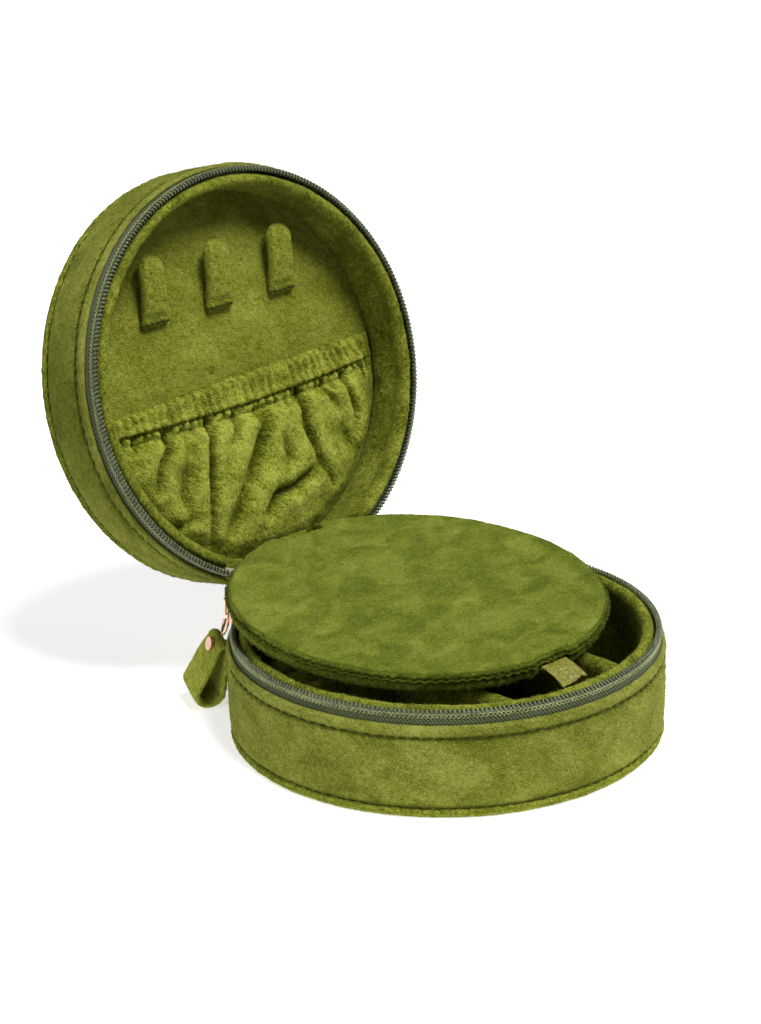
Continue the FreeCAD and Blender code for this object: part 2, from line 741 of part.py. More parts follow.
def build_puller():
    """Pull ring, riveted velvet loop and its rivet, hanging from the slider's bridge."""
    ring = doc.addObject("Part::Torus", "pull_ring_wire")
    ring.setExpression("Radius1", "sizes.ring_radius")
    ring.setExpression("Radius2", "sizes.ring_wire")
    ring.setExpression(
        "Placement", "placement(vector(0; 0; -1 * sizes.ring_radius); rotation(vector(0; 1; 0); 90))"
    )
    finish_node(group("pull_ring_place", [ring]), "pull_ring", RING_PLACE)

    neck_level = "2 * sizes.ring_radius + 3.3"
    body = doc.addObject("PartDesign::Body", "puller_loop")
    band = new_sketch(body, "loop_outline", "XZ_Plane")
    teardrop(band, "sizes.loop_neck", "sizes.loop_bottom", neck_level)
    teardrop(band, "sizes.loop_neck - sizes.loop_band", "sizes.loop_bottom - sizes.loop_band", neck_level)
    pad = body.newObject("PartDesign::Pad", "loop_pad")
    pad.Profile = band
    pad.Midplane = True
    pad.setExpression("Length", "sizes.loop_wide")
    doc.recompute()
    eye = new_sketch(body, "eye_outline", "XZ_Plane")
    eye_level = "2 * sizes.ring_radius + 0.2"
    teardrop(eye, "1.8", "1.9", eye_level, "3.4")
    teardrop(eye, "1.2", "0.6", eye_level, "1.6")
    eye_pad = body.newObject("PartDesign::Pad", "eye_pad")
    eye_pad.Profile = eye
    eye_pad.Midplane = True
    eye_pad.Length = 2.0
    doc.recompute()
    finish_node(body, "puller_loop", LOOP_PLACE)

    rivet = []
    rivet_pieces = (("head", 1.9, 0.8, 2.2), ("shank", 0.8, 5.4, -2.7), ("tail", 1.6, 0.7, -2.9))
    for name, radius, length, start in rivet_pieces:
        piece = doc.addObject("Part::Cylinder", "rivet_" + name)
        piece.Radius = radius
        piece.Height = length
        piece.setExpression(
            "Placement",
            "placement(vector(%s; 0; -1 * (%s) - 0.6); rotation(vector(0; 1; 0); 90))" % (start, neck_level),
        )
        rivet.append(piece)
    finish_node(fuse("rivet_whole", rivet), "puller_rivet", LOOP_PLACE)


def teardrop(sketch, top_radius, bottom_radius, top_level, length="sizes.loop_length"):
    """Two arcs joined by two tangent lines, hanging from top_level below the origin."""
    start = len(sketch.Geometry)
    vector = FreeCAD.Vector
    up = vector(0, 0, 1)
    top = vector(0, -9, 0)
    bottom = vector(0, -20, 0)
    sketch.addGeometry(Part.ArcOfCircle(Part.Circle(top, up, 1.0), 0, math.pi))
    sketch.addGeometry(Part.LineSegment(vector(-1, -9, 0), vector(-3, -20, 0)))
    sketch.addGeometry(Part.ArcOfCircle(Part.Circle(bottom, up, 3.0), math.pi, 2 * math.pi))
    sketch.addGeometry(Part.LineSegment(vector(3, -20, 0), vector(1, -9, 0)))
    constrain(sketch, "Tangent", start, 2, start + 1, 1)
    constrain(sketch, "Tangent", start + 1, 2, start + 2, 1)
    constrain(sketch, "Tangent", start + 2, 2, start + 3, 1)
    constrain(sketch, "Tangent", start + 3, 2, start, 1)
    constrain(sketch, "PointOnObject", start, 3, -2)
    constrain(sketch, "PointOnObject", start + 2, 3, -2)
    constrain(sketch, "Radius", start, value=top_radius)
    constrain(sketch, "Radius", start + 2, value=bottom_radius)
    constrain(sketch, "DistanceY", start, 3, -1, 1, value=top_level)
    constrain(sketch, "DistanceY", start + 2, 3, start, 3, value=length)


# --------------------------------------------------------------------------- check and write
def check_document():
    """Stops before anything is written if a feature failed or a sub-part isn't a sound solid."""
    doc.recompute()
    for feature in doc.Objects:
        if any(word in ("Invalid", "Error") for word in feature.State):
            raise RuntimeError("failed feature: " + feature.Name)
    labels = [node.Label for node in nodes]
    if len(set(labels)) != len(labels):
        raise RuntimeError("two sub-parts share a label")
    for node in nodes:
        shape = node.Shape
        if shape.isNull() or not shape.isValid() or not shape.Solids or shape.Volume <= 0:
            raise RuntimeError("bad shape: " + node.Label)


def write_parts():
    os.makedirs(PARTS_FOLDER, exist_ok=True)
    for old in os.listdir(PARTS_FOLDER):
        if old.endswith(".step"):
            os.remove(os.path.join(PARTS_FOLDER, old))
    for node in nodes:
        node.Shape.exportStep(os.path.join(PARTS_FOLDER, node.Label + ".step"))
        box = node.Shape.BoundBox
        print(
            "%-20s solids %d volume %8.1f  x %6.1f %6.1f  y %6.1f %6.1f  z %6.2f %6.2f"
            % (
                node.Label, len(node.Shape.Solids), node.Shape.Volume,
                box.XMin, box.XMax, box.YMin, box.YMax, box.ZMin, box.ZMax,
            )
        )


build_base()
build_dividers()
build_ring_rolls()
build_lid()
build_straps()
build_pocket()
build_flap()
build_slider()
build_puller()
check_document()
write_parts()
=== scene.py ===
"""Looks of the round velvet travel jewelry case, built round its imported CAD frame.

Lengths inside this script are millimetres until a mesh is made; MM turns them into Blender's metres.
Each half of the case (base, lid) is built in its own frame: origin at the middle of its zip coil,
+Z into the half (its depth), +Y toward the hinge. The flap's frame has +Z up from its middle.
"""
import json
import math

import bpy
import numpy as np
from mathutils import Matrix, Vector


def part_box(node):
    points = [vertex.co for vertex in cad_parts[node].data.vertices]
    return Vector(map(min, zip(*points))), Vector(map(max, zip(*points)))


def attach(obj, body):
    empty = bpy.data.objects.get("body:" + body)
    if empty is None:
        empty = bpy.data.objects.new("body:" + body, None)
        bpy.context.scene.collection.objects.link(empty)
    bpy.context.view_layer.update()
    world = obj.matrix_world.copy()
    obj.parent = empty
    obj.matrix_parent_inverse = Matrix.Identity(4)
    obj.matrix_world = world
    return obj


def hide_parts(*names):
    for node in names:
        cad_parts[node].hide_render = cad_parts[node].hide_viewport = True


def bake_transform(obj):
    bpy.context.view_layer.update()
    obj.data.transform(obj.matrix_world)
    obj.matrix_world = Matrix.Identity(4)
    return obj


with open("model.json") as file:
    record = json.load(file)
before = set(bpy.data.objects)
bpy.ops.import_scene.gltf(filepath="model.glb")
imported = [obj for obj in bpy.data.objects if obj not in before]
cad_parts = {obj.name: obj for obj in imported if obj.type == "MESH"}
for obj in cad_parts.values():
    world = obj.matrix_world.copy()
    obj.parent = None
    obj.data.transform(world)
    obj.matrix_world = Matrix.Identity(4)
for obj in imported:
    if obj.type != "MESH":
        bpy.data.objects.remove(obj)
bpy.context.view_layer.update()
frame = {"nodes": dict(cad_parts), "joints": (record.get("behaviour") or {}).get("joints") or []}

MM = 0.001
TURN = 2 * math.pi
FINE = 1.0
NODES = frame["nodes"]
JOINTS = {joint["name"]: joint for joint in frame["joints"]}
SIDES = ("left", "middle", "right")


# --------------------------------------------------------------------------- frames and sizes
def node_points(node):
    """A CAD node's vertices, in millimetres, in the row frame."""
    points = np.empty(len(NODES[node].data.vertices) * 3)
    NODES[node].data.vertices.foreach_get("co", points)
    return points.reshape(-1, 3) / MM


def row_box(node):
    """A CAD node's lowest and highest corners, in millimetres, in the row frame."""
    low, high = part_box(node)
    return np.array(low) / MM, np.array(high) / MM


def main_axes(points):
    """Directions in which the points spread, from the widest to the thinnest."""
    return np.linalg.svd(points - points.mean(0), full_matrices=False)[2]


def disc_axes(node, toward):
    """Rows are the x, y and z directions of a flat node whose z points the way toward does."""
    normal = main_axes(node_points(node))[2]
    normal *= np.sign(normal @ np.array(toward, float))
    normal[0] = 0.0
    normal /= np.linalg.norm(normal)
    across = np.array([1.0, 0.0, 0.0])
    return np.array([across, np.cross(normal, across), normal])


class Place:
    """A frame: axes as rows and an origin in millimetres of the row frame."""

    def __init__(self, axes, origin=(0.0, 0.0, 0.0)):
        self.axes = np.array(axes, float)
        self.origin = np.array(origin, float)

    def out(self, points):
        """Points of this frame, in the row frame."""
        return np.asarray(points) @ self.axes + self.origin

    def into(self, points):
        """Points of the row frame, in this frame."""
        return (np.asarray(points) - self.origin) @ self.axes.T

    def box(self, node):
        points = self.into(node_points(node))
        return points.min(0), points.max(0)


def half_place(axes, half):
    """The frame of the base or the lid, from its round cover and its coil."""
    turned_place = Place(axes)
    cover_low, cover_high = turned_place.box(half + "_flat_cover")
    coil_low, coil_high = turned_place.box("zip_coil_" + half)
    middle = (cover_low + cover_high) / 2
    middle[2] = (coil_low[2] + coil_high[2]) / 2
    return Place(axes, turned_place.out(middle))


def flap_place():
    """The flap's frame, from its card's front edge and its two covers."""
    turned_place = Place(disc_axes("flap_board", (0, 0, 1)))
    card_low, card_high = turned_place.box("flap_board")
    radius = (card_high[0] - card_low[0]) / 2
    low = turned_place.box("flap_bottom_cover")[0][2]
    high = turned_place.box("flap_top_cover")[1][2]
    return Place(turned_place.axes, turned_place.out([0.0, card_low[1] + radius, (low + high) / 2]))


def puller_place():
    """The puller's frame: its pin at the origin, x across the band, y along the rivet, z up."""
    pin = np.array(JOINTS["puller_swing"]["pos_m"]) / MM
    rivet = node_points("puller_rivet")
    down = unit(node_points("pull_ring").mean(0) - pin)
    axis = main_axes(rivet)[0]
    if axis @ (rivet.mean(0) - node_points("puller_loop").mean(0)) < 0:
        axis = -axis
    axis = unit(axis - down * (axis @ down))
    return Place([np.cross(down, axis), axis, -down], pin)


ROW = Place(np.eye(3))
BASE = half_place([[-1, 0, 0], [0, 1, 0], [0, 0, -1]], "base")
LID = half_place(disc_axes("lid_flat_cover", (0, 1, 0)), "lid")
FLAP = flap_place()
HALVES = {"base": BASE, "lid": LID}

CASE_RADIUS = BASE.box("base_outer_wall")[1][0]
RIM_DEPTH = BASE.box("base_outer_wall")[0][2]
COIL_HALF_WIDTH = 0.5
COIL_RADIUS = BASE.box("zip_coil_base")[1][0] - COIL_HALF_WIDTH
COIL_END = 27.0  # degrees from the hinge
LINING_RADIUS = 51.6
FLAP_RADIUS = FLAP.box("flap_top_cover")[1][0]
FLAP_HALF = FLAP.box("flap_top_cover")[1][2]
FLAP_SEAM = 0.7
PANEL_DEPTH = LID.box("lid_lining_panel")[0][2]
FLOOR_DEPTH = BASE.box("base_lining_floor")[0][2]
HALF_DEPTH = {half: HALVES[half].box(half + "_flat_cover")[1][2] for half in HALVES}
RIM_STITCH = 3.4  # from the velvet's rim to its stitches
TAPE_PITCH, TAPE_SLANT = 0.95, 0.8
POCKET_STITCH = 2.35
STITCH_ARCH = np.array([0.25, 0.0, -0.08, 0.0, 0.25])  # how a stitch on the panel dives, rises and dives


# --------------------------------------------------------------------------- noise
def lattice(corner, seed):
    """A repeatable number from -1 to 1 for each whole-number corner."""
    mixed = corner[..., 0] * 374761393 + corner[..., 1] * 668265263 + corner[..., 2] * 1440662683
    mixed = (mixed + seed * 974634777) & 0xFFFFFFFF
    mixed = ((mixed ^ (mixed >> 13)) * 1274126177) & 0xFFFFFFFF
    mixed = ((mixed ^ (mixed >> 15)) * 668265263) & 0xFFFFFFFF
    mixed = mixed ^ (mixed >> 16)
    return mixed / 2147483648.0 - 1.0


def chance(index, second, third, seed):
    """A repeatable number from -1 to 1 for one thing of a row."""
    return float(lattice(np.array([index, second, third]), seed))


def noise(points, period, seed=0):
    """Smooth noise from -1 to 1 whose lumps are about period millimetres apart."""
    scaled = np.asarray(points, float) / np.array(period, float)
    cell = np.floor(scaled).astype(np.int64)
    part = scaled - cell
    part = part * part * (3 - 2 * part)
    total = np.zeros(scaled.shape[:-1])
    for corner in range(8):
        step = np.array([corner & 1, corner >> 1 & 1, corner >> 2 & 1])
        share = np.prod(np.where(step, part, 1 - part), axis=-1)
        total += share * lattice(cell + step, seed)
    return total


def flat_noise(first, second, seed):
    """The same noise over two lengths that are already divided by their periods."""
    return noise(np.stack([first, second + 0 * first, 0 * first], -1), 1, seed)


def smooth_step(value, low, high):
    part = np.clip((np.asarray(value, float) - low) / (high - low), 0, 1)
    return part * part * (3 - 2 * part)


def bell(away, width):
    """1 at no distance away, and falling off smoothly over the width."""
    return np.exp(-((away / width) ** 2))


# --------------------------------------------------------------------------- lines
def unit(vectors):
    """The same directions, with a length of 1."""
    return vectors / np.maximum(np.linalg.norm(vectors, axis=-1, keepdims=True), 1e-9)


def distances(points):
    """How far along a line each of its points is."""
    return np.concatenate([[0], np.cumsum(np.linalg.norm(np.diff(points, axis=0), axis=1))])


def spread(points, count, endpoint=True):
    """Count points at even distances along a line."""
    lengths = distances(points)
    wanted = np.linspace(0, lengths[-1], count, endpoint=endpoint)
    return np.stack([np.interp(wanted, lengths, column) for column in points.T], axis=-1)


def curve(points, spacing, closed=False):
    """A smooth line through the points, with its own points at an even spacing."""
    points = np.array(points, float)
    if closed:
        held = np.vstack([points[-1], points, points[0], points[1]])
    else:
        held = np.vstack([2 * points[0] - points[1], points, 2 * points[-1] - points[-2]])
    dense = []
    for a, b, c, d in zip(held, held[1:], held[2:], held[3:]):
        for step in np.linspace(0, 1, 12, endpoint=False):
            spot = 2 * b + (c - a) * step + (2 * a - 5 * b + 4 * c - d) * step**2
            dense.append(0.5 * (spot + (3 * b - a - 3 * c + d) * step**3))
    dense.append(points[0] if closed else points[-1])
    dense = np.array(dense)
    count = max(4, int(round(distances(dense)[-1] / spacing)))
    line = spread(dense, count + 1)
    return line[:-1] if closed else line


def arc(middle, radius, start, stop, count):
    """Points of an arc in a plane, from one angle in degrees to another."""
    angles = np.radians(np.linspace(start, stop, count))
    return np.array(middle) + radius * np.stack([np.cos(angles), np.sin(angles)], axis=-1)


def around(radius, depth, degrees):
    """A point of a half's frame; degrees run from the hinge."""
    angle = np.radians(degrees)
    return np.stack([radius * np.sin(angle), radius * np.cos(angle), depth + 0 * angle], axis=-1)


# --------------------------------------------------------------------------- grids
def grid_normals(grid, wrap_u, wrap_v):
    """Unit normals of a grid of points."""
    ways = []
    for axis, wrap in enumerate((wrap_u, wrap_v)):
        if wrap:
            ways.append(np.roll(grid, -1, axis) - np.roll(grid, 1, axis))
        else:
            ways.append(np.gradient(grid, axis=axis))
    return unit(np.cross(*ways))


def plush(grid, wrap_u, wrap_v, height=0.13, out=1.0, seed=0):
    """The grid with the clumps of a short pile on it; out is the side the pile stands on."""
    clumps = noise(grid, 2.1, seed) + 0.8 * noise(grid, 1.15, seed + 1) + 0.5 * noise(grid, 0.7, seed + 2)
    slow = noise(grid, 9.0, seed + 3)
    return grid + grid_normals(grid, wrap_u, wrap_v) * out * (height * (clumps + 0.9 * slow))[..., None]


def pile_side(grid):
    """1 or -1: which side of a closed grid's faces is its outside."""
    corner = grid[:-1, :-1]
    cross = np.cross(grid[1:, :-1] - corner, grid[:-1, 1:] - corner)
    return float(np.sign(((corner - grid.reshape(-1, 3).mean(0)) * cross).sum()))


def grid_faces(nu, nv, ring, first):
    """Quads of an nu by nv grid of vertices, closed along v, and along u too for a ring."""
    uu, vv = np.meshgrid(np.arange(nu if ring else nu - 1), np.arange(nv), indexing="ij")
    un, vn = (uu + 1) % nu, (vv + 1) % nv
    quads = np.stack([uu * nv + vv, un * nv + vv, un * nv + vn, uu * nv + vn], axis=-1)
    return quads.reshape(-1, 4) + first


def woven(u, v, tone=0.0):
    """What a material reads at each vertex: two distances in millimetres and a tone."""
    return np.stack(np.broadcast_arrays(u, v, tone), axis=-1)


def surface_map(grid, tone=0.0):
    """Distances along both ways of a grid, and a tone."""
    along = np.linalg.norm(np.diff(grid, axis=0), axis=2).mean(1)
    across = np.linalg.norm(np.diff(grid, axis=1), axis=2).mean(0)
    u = np.concatenate([[0], np.cumsum(along)])[:, None]
    v = np.concatenate([[0], np.cumsum(across)])[None]
    return woven(u, v, tone)


def flat_map(grid, tone=0.0):
    """The same for a face that lies across the frame's z, without a seam."""
    return woven(grid[..., 0], grid[..., 1], tone)


def reach(grid):
    """How far each point is from the frame's z."""
    return np.hypot(grid[..., 0], grid[..., 1])


def run_round(grid, radius):
    """How far round each point is from the hinge, in millimetres on a circle of the radius."""
    return np.arctan2(grid[..., 0], grid[..., 1]) * radius


def pushed(grid, distance):
    """The grid with each point moved away from the frame's z."""
    return grid + unit(grid * np.array([1.0, 1.0, 0.0])) * distance[..., None]


def turned(profile, count, start=0.0, stop=360.0):
    """A grid of a (radius, depth) profile turned round the frame's z, all the way or from start to stop."""
    degrees = np.linspace(start, stop, count, endpoint=stop - start < 360)[:, None]
    return around(profile[None, :, 0], profile[None, :, 1], degrees + 0 * profile[None, :, 0])


def disc_grid(outline, count, spacing):
    """A turned disc whose outline runs from its middle out, over the edge and back to its middle."""
    profile = curve(outline, spacing)
    profile[[0, -1], 0] = 0.0
    profile[:, 0] = np.maximum(profile[:, 0], 0.02)
    return turned(profile, count)


# --------------------------------------------------------------------------- meshes
class Mesh:
    """Collects closed grids and tufts, and then makes one object of them."""

    def __init__(self, place):
        self.place = place
        self.points = []
        self.quads = []
        self.triangles = [np.zeros((0, 3), int)]
        self.weave = []
        self.count = 0

    def grid(self, grid, weave=None, ring=False):
        """Adds a grid (u, v, 3), closed along v: along u it is a ring, or both its ends are capped."""
        nu, nv = grid.shape[:2]
        first = self.count
        weave = surface_map(grid) if weave is None else weave
        self.points.append(grid.reshape(-1, 3))
        self.weave.append(weave.reshape(-1, 3))
        self.quads.append(grid_faces(nu, nv, ring, first))
        self.count += nu * nv
        for row in () if ring else (0, nu - 1):
            self.fan(first + row * nv, nv, grid[row].mean(0), weave[row].mean(0), row == 0)
        return self

    def fan(self, start, size, centre, weave, flip):
        self.points.append(centre[None])
        self.weave.append(weave[None])
        index = start + np.arange(size)
        following = start + (np.arange(size) + 1) % size
        middle = np.full(size, self.count)
        order = [following, index, middle] if flip else [index, following, middle]
        self.triangles.append(np.stack(order, axis=-1))
        self.count += 1

    def fluff(self, grid, weave, mask, density, out=None, length=0.7, width=0.13, comb=(0.7, 0.5), seed=0):
        """Adds pointed tufts of pile to a grid: density for each square millimetre, thinned by mask."""
        out = pile_side(grid) if out is None else out
        corner = grid[:-1, :-1]
        along, across = grid[1:, :-1] - corner, grid[:-1, 1:] - corner
        cross = np.cross(along, across)
        wanted = np.linalg.norm(cross, axis=-1) * mask[:-1, :-1]
        rng = np.random.default_rng(seed)
        count = int(wanted.sum() * density * FINE)
        picked = rng.choice(wanted.size, count, p=wanted.ravel() / wanted.sum())
        flat = (corner, along, across, out * unit(cross), weave[:-1, :-1])
        corner, along, across, normal, weave = [values.reshape(-1, 3)[picked] for values in flat]
        spot = corner + along * rng.random((count, 1)) + across * rng.random((count, 1))
        side_u = unit(along)
        side_v = np.cross(normal, side_u)
        tall = length * rng.uniform(0.65, 1.25, (count, 1))
        lean = np.array(comb) + rng.normal(0, 0.35, (count, 2))
        points = [spot + tall * (side_u * lean[:, :1] + side_v * lean[:, 1:] + 0.55 * normal)]
        for angle in (0.0, 2.1, 4.2):
            foot = width * (math.cos(angle) * side_u + math.sin(angle) * side_v)
            points.append(spot - 0.12 * normal + foot)
        # Each tuft's tip is painted lighter and its feet darker: painted highlight on the tips and painted
        # shade among the roots.
        tone = np.array([0.0, 0.0, 1.0]) * rng.uniform(-0.05, 0.16, (count, 1))
        self.points.append(np.stack(points, axis=1).reshape(-1, 3))
        self.weave.append(np.stack([weave + tone] + [weave - tone] * 3, axis=1).reshape(-1, 3))
        first = self.count + 4 * np.arange(count)
        for order in ((0, 1, 2), (0, 2, 3), (0, 3, 1), (3, 2, 1)):
            self.triangles.append(np.stack([first + index for index in order], axis=-1))
        self.count += 4 * count
        return self

    def build(self, name, material):
        points = self.place.out(np.vstack(self.points)) * MM
        quads = np.vstack(self.quads)
        triangles = np.vstack(self.triangles)
        mesh = bpy.data.meshes.new(name)
        mesh.vertices.add(len(points))
        mesh.vertices.foreach_set("co", points.astype(np.float32).ravel())
        corners = np.concatenate([quads.ravel(), triangles.ravel()]).astype(np.int32)
        sizes = np.concatenate([np.full(len(quads), 4), np.full(len(triangles), 3)])
        mesh.loops.add(len(corners))
        mesh.loops.foreach_set("vertex_index", corners)
        mesh.polygons.add(len(sizes))
        mesh.polygons.foreach_set("loop_start", (np.cumsum(sizes) - sizes).astype(np.int32))
        mesh.update(calc_edges=True)
        mesh.validate()
        mesh.polygons.foreach_set("use_smooth", np.full(len(sizes), True))
        layer = mesh.attributes.new("weave", "FLOAT_VECTOR", "POINT")
        layer.data.foreach_set("vector", np.vstack(self.weave).astype(np.float32).ravel())
        outward(mesh)
        return linked(name, mesh, material)


def outward(mesh):
    """Turns a closed mesh's faces outward."""
    points = np.empty(len(mesh.vertices) * 3)
    mesh.vertices.foreach_get("co", points)
    mesh.calc_loop_triangles()
    triangles = np.empty(len(mesh.loop_triangles) * 3, np.int32)
    mesh.loop_triangles.foreach_get("vertices", triangles)
    a, b, c = points.reshape(-1, 3)[triangles.reshape(-1, 3)].transpose(1, 0, 2)
    if (a * np.cross(b, c)).sum() < 0:
        mesh.flip_normals()


def linked(name, data, material=None):
    """An object of the data, in the scene."""
    piece = bpy.data.objects.new(name, data)
    bpy.context.scene.collection.objects.link(piece)
    if material is not None:
        data.materials.clear()
        data.materials.append(material)
    return piece


def keep(piece, body, replaced=()):
    """Lets a piece ride on its body and stand for the CAD nodes it replaces, which it hides."""
    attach(piece, body)
    if replaced:
        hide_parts(*replaced)


def tubes(mesh, paths, radius, sides=6, taper=0.0):
    """Adds a round tube along each path; taper thins its ends."""
    turn = np.linspace(0, TURN, sides, endpoint=False)[None, :, None]
    for path in paths:
        tangent = unit(np.gradient(path, axis=0))
        guide = [0.83, 0.55, 0.0] if abs(tangent[:, 2]).max() > 0.9 else [0.0, 0.0, 1.0]
        side = unit(np.cross(tangent, guide))
        up = np.cross(side, tangent)
        thick = radius * (1 - taper * np.abs(np.linspace(-1, 1, len(path))) ** 4)
        ring = np.cos(turn) * side[:, None] + np.sin(turn) * up[:, None]
        mesh.grid(path[:, None] + thick[:, None, None] * ring)
    return mesh


def threads(name, place, paths, radius, material, body, sides=6, taper=0.4):
    """One piece of thin round threads, one along each path."""
    mesh = tubes(Mesh(place), paths, radius, sides, taper)
    keep(mesh.build(name, material), body)


# --------------------------------------------------------------------------- materials
def new_material(name):
    material = bpy.data.materials.new(name)
    material.use_nodes = True
    material.node_tree.nodes.clear()
    return material, material.node_tree


def add_node(tree, kind, settings=None, **inputs):
    """A shader node; inputs are numbers, colours or sockets, and settings are its properties."""
    node = tree.nodes.new(kind)
    for key, value in (settings or {}).items():
        setattr(node, key, value)
    for key, value in inputs.items():
        socket = node.inputs[int(key[2:]) if key.startswith("at") else key.replace("_", " ")]
        if isinstance(value, bpy.types.NodeSocket):
            tree.links.new(value, socket)
        else:
            socket.default_value = value
    return node


def ramp(tree, factor, stops):
    node = add_node(tree, "ShaderNodeValToRGB", Fac=factor)
    elements = node.color_ramp.elements
    while len(elements) < len(stops):
        elements.new(0.5)
    for element, (place, colour) in zip(elements, stops):
        element.position = place
        element.color = (*colour, 1)
    return node.outputs["Color"]


def maths(tree, kind, first, second=0.0):
    return add_node(tree, "ShaderNodeMath", {"operation": kind}, at0=first, at1=second).outputs[0]


def summed(tree, *parts):
    """The sum of (socket, share) pairs, each socket times its share."""
    total = None
    for socket, share in parts:
        term = socket if share == 1.0 else maths(tree, "MULTIPLY", socket, share)
        total = term if total is None else maths(tree, "ADD", term, total)
    return total


def ribbed(tree, along, pitch):
    """Even ribs, one for each pitch in millimetres."""
    return maths(tree, "SINE", maths(tree, "MULTIPLY", along, TURN / pitch))


def noise_node(tree, where, scale, detail=3.0, rough=0.55, warp=0.0):
    node = add_node(
        tree, "ShaderNodeTexNoise", Vector=where, Scale=scale, Detail=detail, Roughness=rough, Distortion=warp
    )
    return node.outputs["Fac"]


def object_place(tree, stretch=(1, 1, 1)):
    """Object coordinates in metres, stretched."""
    where = add_node(tree, "ShaderNodeTexCoord").outputs["Object"]
    return add_node(tree, "ShaderNodeMapping", Vector=where, Scale=stretch).outputs["Vector"]


def weave_sockets(tree):
    """The two distances and the tone of the mesh's weave attribute."""
    weave = add_node(tree, "ShaderNodeAttribute", {"attribute_name": "weave"}).outputs["Vector"]
    return add_node(tree, "ShaderNodeSeparateXYZ", Vector=weave).outputs


def finish_material(tree, colour, rough, bump=None, **extra):
    """Principled shader with the material's uniform values on its own sockets."""
    shader = add_node(tree, "ShaderNodeBsdfPrincipled", Base_Color=colour, Roughness=rough, **extra)
    if bump is not None:
        tree.links.new(bump, shader.inputs["Normal"])
    output = add_node(tree, "ShaderNodeOutputMaterial")
    tree.links.new(shader.outputs[0], output.inputs["Surface"])


def bump_node(tree, height, strength, distance, below=None):
    node = add_node(tree, "ShaderNodeBump", Height=height, Strength=strength, Distance=distance)
    if below is not None:
        tree.links.new(below, node.inputs["Normal"])
    return node.outputs["Normal"]


def velvet(name, tones, tuft, comb, crush, crush_share, contrast):
    """Short-pile plush: slow crushed patches, combed tufts with dark gaps, fine fibres and a soft sheen.

    tuft is a tuft's width and crush a patch's size, in millimetres; comb turns the pile, in radians.
    """
    material, tree = new_material(name)
    dark, middle, light = tones
    u, v, tone = weave_sockets(tree)
    flat = add_node(tree, "ShaderNodeCombineXYZ", X=u, Y=v).outputs[0]

    def combed(across, along, detail, rough, warp):
        mapping = add_node(
            tree, "ShaderNodeMapping", {"vector_type": "TEXTURE"},
            Vector=flat, Rotation=(0, 0, comb), Scale=(across, along, 1),
        )
        return noise_node(tree, mapping.outputs["Vector"], 1.0, detail, rough, warp)

    patches = combed(crush, crush * 1.4, 3.0, 0.55, 0.8)
    streaks = combed(tuft * 3.5, tuft * 8, 2.0, 0.6, 0.5)
    tufts = combed(tuft, tuft * 2.6, 2.0, 0.6, 0.7)
    fibres = combed(tuft * 0.42, tuft * 1.1, 1.0, 0.6, 0.3)
    layers = ((streaks, 0.5), (tufts, 1.15), (fibres, 0.9))
    shares = [(patches, crush_share)] + [(socket, share * contrast) for socket, share in layers]
    for socket, share in shares:
        tone = summed(tree, (maths(tree, "SUBTRACT", socket, 0.5), share), (tone, 1.0))
    colour = ramp(tree, maths(tree, "ADD", tone, 0.5), [(0.2, dark), (0.5, middle), (0.8, light)])
    soft = bump_node(tree, streaks, 0.35, 0.0006)
    tufted = bump_node(tree, tufts, 0.8, 0.00045, soft)
    fine = bump_node(tree, fibres, 0.6, 0.00015, tufted)
    finish_material(
        tree, colour, 0.95, fine,
        Sheen_Weight=0.2, Sheen_Roughness=0.4, Sheen_Tint=(0.70, 0.76, 0.16, 1), Specular_IOR_Level=0.05,
    )
    return material


def twill(name, dark, light, pitch, slant):
    """Woven tape with slanted ribs and single yarns across them."""
    material, tree = new_material(name)
    along, across, _ = weave_sockets(tree)
    ribs = ribbed(tree, summed(tree, (across, slant), (along, 1.0)), pitch)
    both = summed(tree, (ribs, 0.36), (ribbed(tree, across, 0.42), 0.14))
    fuzz = noise_node(tree, object_place(tree), 2200.0, 2.0)
    slow = noise_node(tree, object_place(tree), 160.0, 2.0)
    colour = ramp(tree, summed(tree, (both, 1.0), (fuzz, 0.5), (slow, 0.5)), [(0.12, dark), (0.9, light)])
    bump = bump_node(tree, fuzz, 0.3, 0.0001, bump_node(tree, both, 0.8, 0.00018))
    finish_material(tree, colour, 0.8, bump, Sheen_Weight=0.15, Specular_IOR_Level=0.25)
    return material


def satin(name, dark, light):
    """Satin ribbon with faint slanted ribs."""
    material, tree = new_material(name)
    along, across, _ = weave_sockets(tree)
    ribs = ribbed(tree, summed(tree, (along, 0.8), (across, 1.0)), 0.55)
    fuzz = noise_node(tree, object_place(tree), 1800.0, 2.0)
    colour = ramp(tree, summed(tree, (ribs, 0.08), (fuzz, 1.0)), [(0.3, dark), (0.75, light)])
    finish_material(
        tree, colour, 0.5, bump_node(tree, ribs, 0.2, 0.00008), Anisotropic=0.4, Specular_IOR_Level=0.2
    )
    return material


def plain_fibre(name, dark, light, scale, rough, bump_depth=0.0001, **extra):
    """Thread, coil, foam, card and similar: two tones in small grains."""
    material, tree = new_material(name)
    grains = noise_node(tree, object_place(tree), scale, 3.0, 0.6)
    slow = noise_node(tree, object_place(tree), scale / 12, 2.0)
    colour = ramp(tree, summed(tree, (grains, 0.7), (slow, 0.3)), [(0.35, dark), (0.65, light)])
    finish_material(tree, colour, rough, bump_node(tree, grains, 0.5, bump_depth), **extra)
    return material


def metal(name, dark, light, rough):
    """Plated metal, slightly brushed, with duller patches."""
    material, tree = new_material(name)
    brushed = noise_node(tree, object_place(tree, (1, 1, 9)), 900.0, 2.0)
    worn = noise_node(tree, object_place(tree), 240.0, 3.0)
    colour = ramp(tree, worn, [(0.35, dark), (0.65, light)])
    roughness = maths(tree, "ADD", maths(tree, "MULTIPLY", brushed, 0.18), rough)
    finish_material(tree, colour, roughness, bump_node(tree, brushed, 0.12, 0.00005), Metallic=1.0)
    return material


